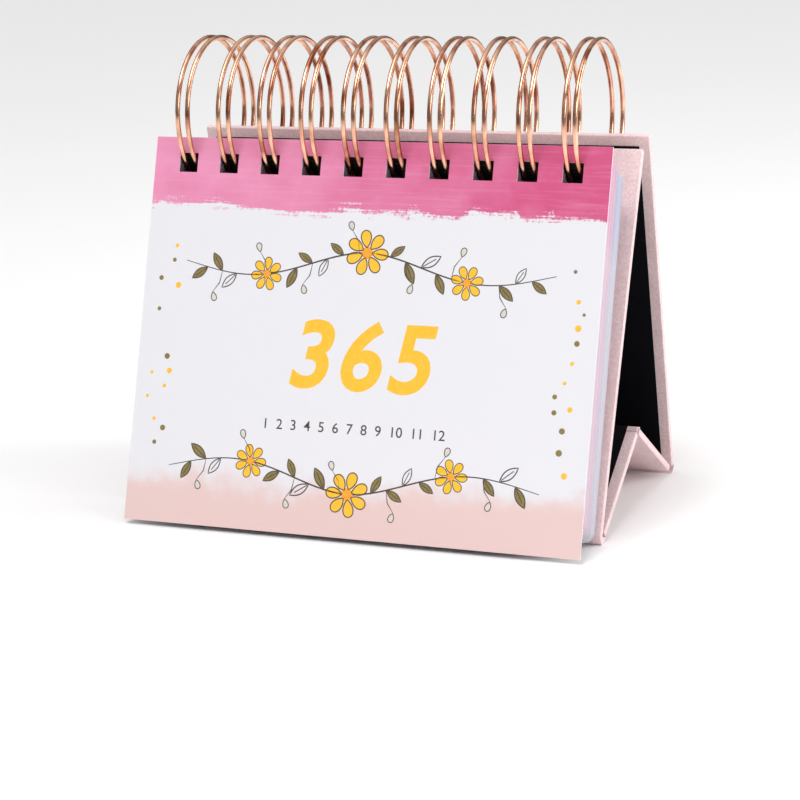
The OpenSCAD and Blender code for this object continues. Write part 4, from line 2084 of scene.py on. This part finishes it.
@dataclass(frozen=True)
class SoftLamp:
    """A square soft lamp, in metres and watts."""

    name: str
    place: Place
    size: float
    watts: float

    def build(self, aim: Place) -> None:
        """Hangs the lamp.

        Args:
            aim: The point that it faces.
        """
        data = bpy.data.lights.new(self.name, "AREA")
        data.size = self.size
        data.energy = self.watts
        lamp = add_object(self.name, data)
        lamp.location = self.place
        lamp.rotation_euler = (Vector(aim) - Vector(self.place)).to_track_quat("-Z", "Y").to_euler()


@dataclass
class Studio:
    """A plain pale floor under soft light, in metres and watts."""

    floor_size: float = 6.0
    floor_parts: int = 8
    sun_watts: float = 1.15
    sun_soft: float = 28.0
    sun_way: Place = (0.12, 0.5, -0.86)
    sky: str = "#FFFFFF"
    sky_low: float = 0.1
    sky_high: float = 0.82
    backdrop: float = 0.76
    aim: Place = (0.0, 0.0, 0.06)
    lamps: tuple[SoftLamp, ...] = (
        SoftLamp("rim", (0.62, 0.2, 0.3), 0.3, 2.0),
        SoftLamp("top", (-0.1, -0.15, 0.8), 0.5, 1.4),
        SoftLamp("fill", (0.8, -0.35, 0.35), 0.25, 1.4),
    )

    def build(self) -> None:
        """Builds the floor, the sky, the sun and the lamps."""
        bm = bmesh.new()
        parts = self.floor_parts
        bmesh.ops.create_grid(bm, x_segments=parts, y_segments=parts, size=self.floor_size / 2)
        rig.stage(add_object("floor", mesh_of(bm), [Paper.BACKDROP.material()]))
        self.light_sky()
        data = bpy.data.lights.new("sun", "SUN")
        data.energy = self.sun_watts
        data.angle = math.radians(self.sun_soft)
        sun = add_object("sun", data)
        sun.rotation_euler = Vector(self.sun_way).to_track_quat("-Z", "Y").to_euler()
        for lamp in self.lamps:
            lamp.build(self.aim)

    def light_sky(self) -> None:
        """Lights the sky from overhead, and shows it as pale as the far floor, so that no horizon shows."""
        world = bpy.data.worlds.new("soft box")
        bpy.context.scene.world = world
        world.use_nodes = True
        tree = world.node_tree
        way = add_node(tree, "ShaderNodeTexCoord", {})["Generated"]
        up = add_node(tree, "ShaderNodeSeparateXYZ", {"Vector": way})["Z"]
        rise = {"Value": up, "To Min": self.sky_low, "To Max": self.sky_high}
        glow = add_node(tree, "ShaderNodeMapRange", rise)[0]
        seen = add_node(tree, "ShaderNodeLightPath", {})["Is Camera Ray"]
        shown = {"Value": seen, "To Min": glow, "To Max": self.backdrop}
        strength = add_node(tree, "ShaderNodeMapRange", shown)[0]
        background = tree.nodes["Background"]
        background.inputs["Color"].default_value = linear(self.sky)
        tree.links.new(strength, background.inputs["Strength"])


@dataclass
class PhotoCamera:
    """A camera that sees the calendar as the photograph does, in a square frame of 800 pixels."""

    focal_px: float = 2366.05
    frame_px: float = 800.0
    sensor_mm: float = 36.0
    azimuth: float = 22.91
    pitch: float = 15.227
    roll: float = -2.474
    target: Place = (0.0, 20.0, 60.0)
    offset: Place = (-6.131, -35.069, 685.996)
    nearest: float = 0.01

    def build(self) -> Piece:
        """Places the camera and makes it the scene's own.

        Returns:
            The camera's object.
        """
        a, p, r = (math.radians(v) for v in (self.azimuth, self.pitch, self.roll))
        back = Vector((math.sin(a) * math.cos(p), -math.cos(a) * math.cos(p), math.sin(p)))
        right = Vector((math.cos(a), math.sin(a), 0.0))
        up = back.cross(right)
        axes = (right * math.cos(r) + up * math.sin(r), up * math.cos(r) - right * math.sin(r), back)
        place = Vector(self.target)
        for axis, shift in zip(axes, self.offset):
            place += axis * shift
        data = bpy.data.cameras.new("camera")
        data.sensor_width = self.sensor_mm
        data.sensor_fit = "HORIZONTAL"
        data.lens = self.focal_px / self.frame_px * self.sensor_mm
        data.clip_start = self.nearest
        camera = add_object("camera", data)
        camera.matrix_world = axes_matrix(axes, place * MM)
        bpy.context.scene.camera = camera
        return camera


def main() -> None:
    """Builds every piece in order and writes the two boxes, of the imported part and of the dressed object."""
    logging.basicConfig(level=logging.INFO, format="%(name)s: %(message)s")
    bpy.context.scene.view_settings.view_transform = "Standard"
    for board in easel_boards():
        board.dress()
        log.info("covered %s", board.build().name)
    for strip in EaselFolds().build():
        log.info("bent %s", strip.name)
    log.info("wound %s", TwinLoopWire().build().name)
    pad = PagePad()
    for pile in pad.build():
        log.info("piled %s", pile.name)
    for page in PagePrint().build(pad):
        log.info("printed %s", page.name)
    log.info("cut %s", FrontCover().build().name)
    for printed in CoverPrint().build():
        log.info("printed %s", printed.name)
    Studio().build()
    log.info("aimed %s", PhotoCamera().build().name)
    boxes = {"cad": CAD_BOX, "visual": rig.bounds()}
    with open(SIZE_FILE, "w", encoding="utf-8") as out:
        json.dump({name: [list(corner) for corner in box] for name, box in boxes.items()}, out)


if __name__ == "__main__":
    main()
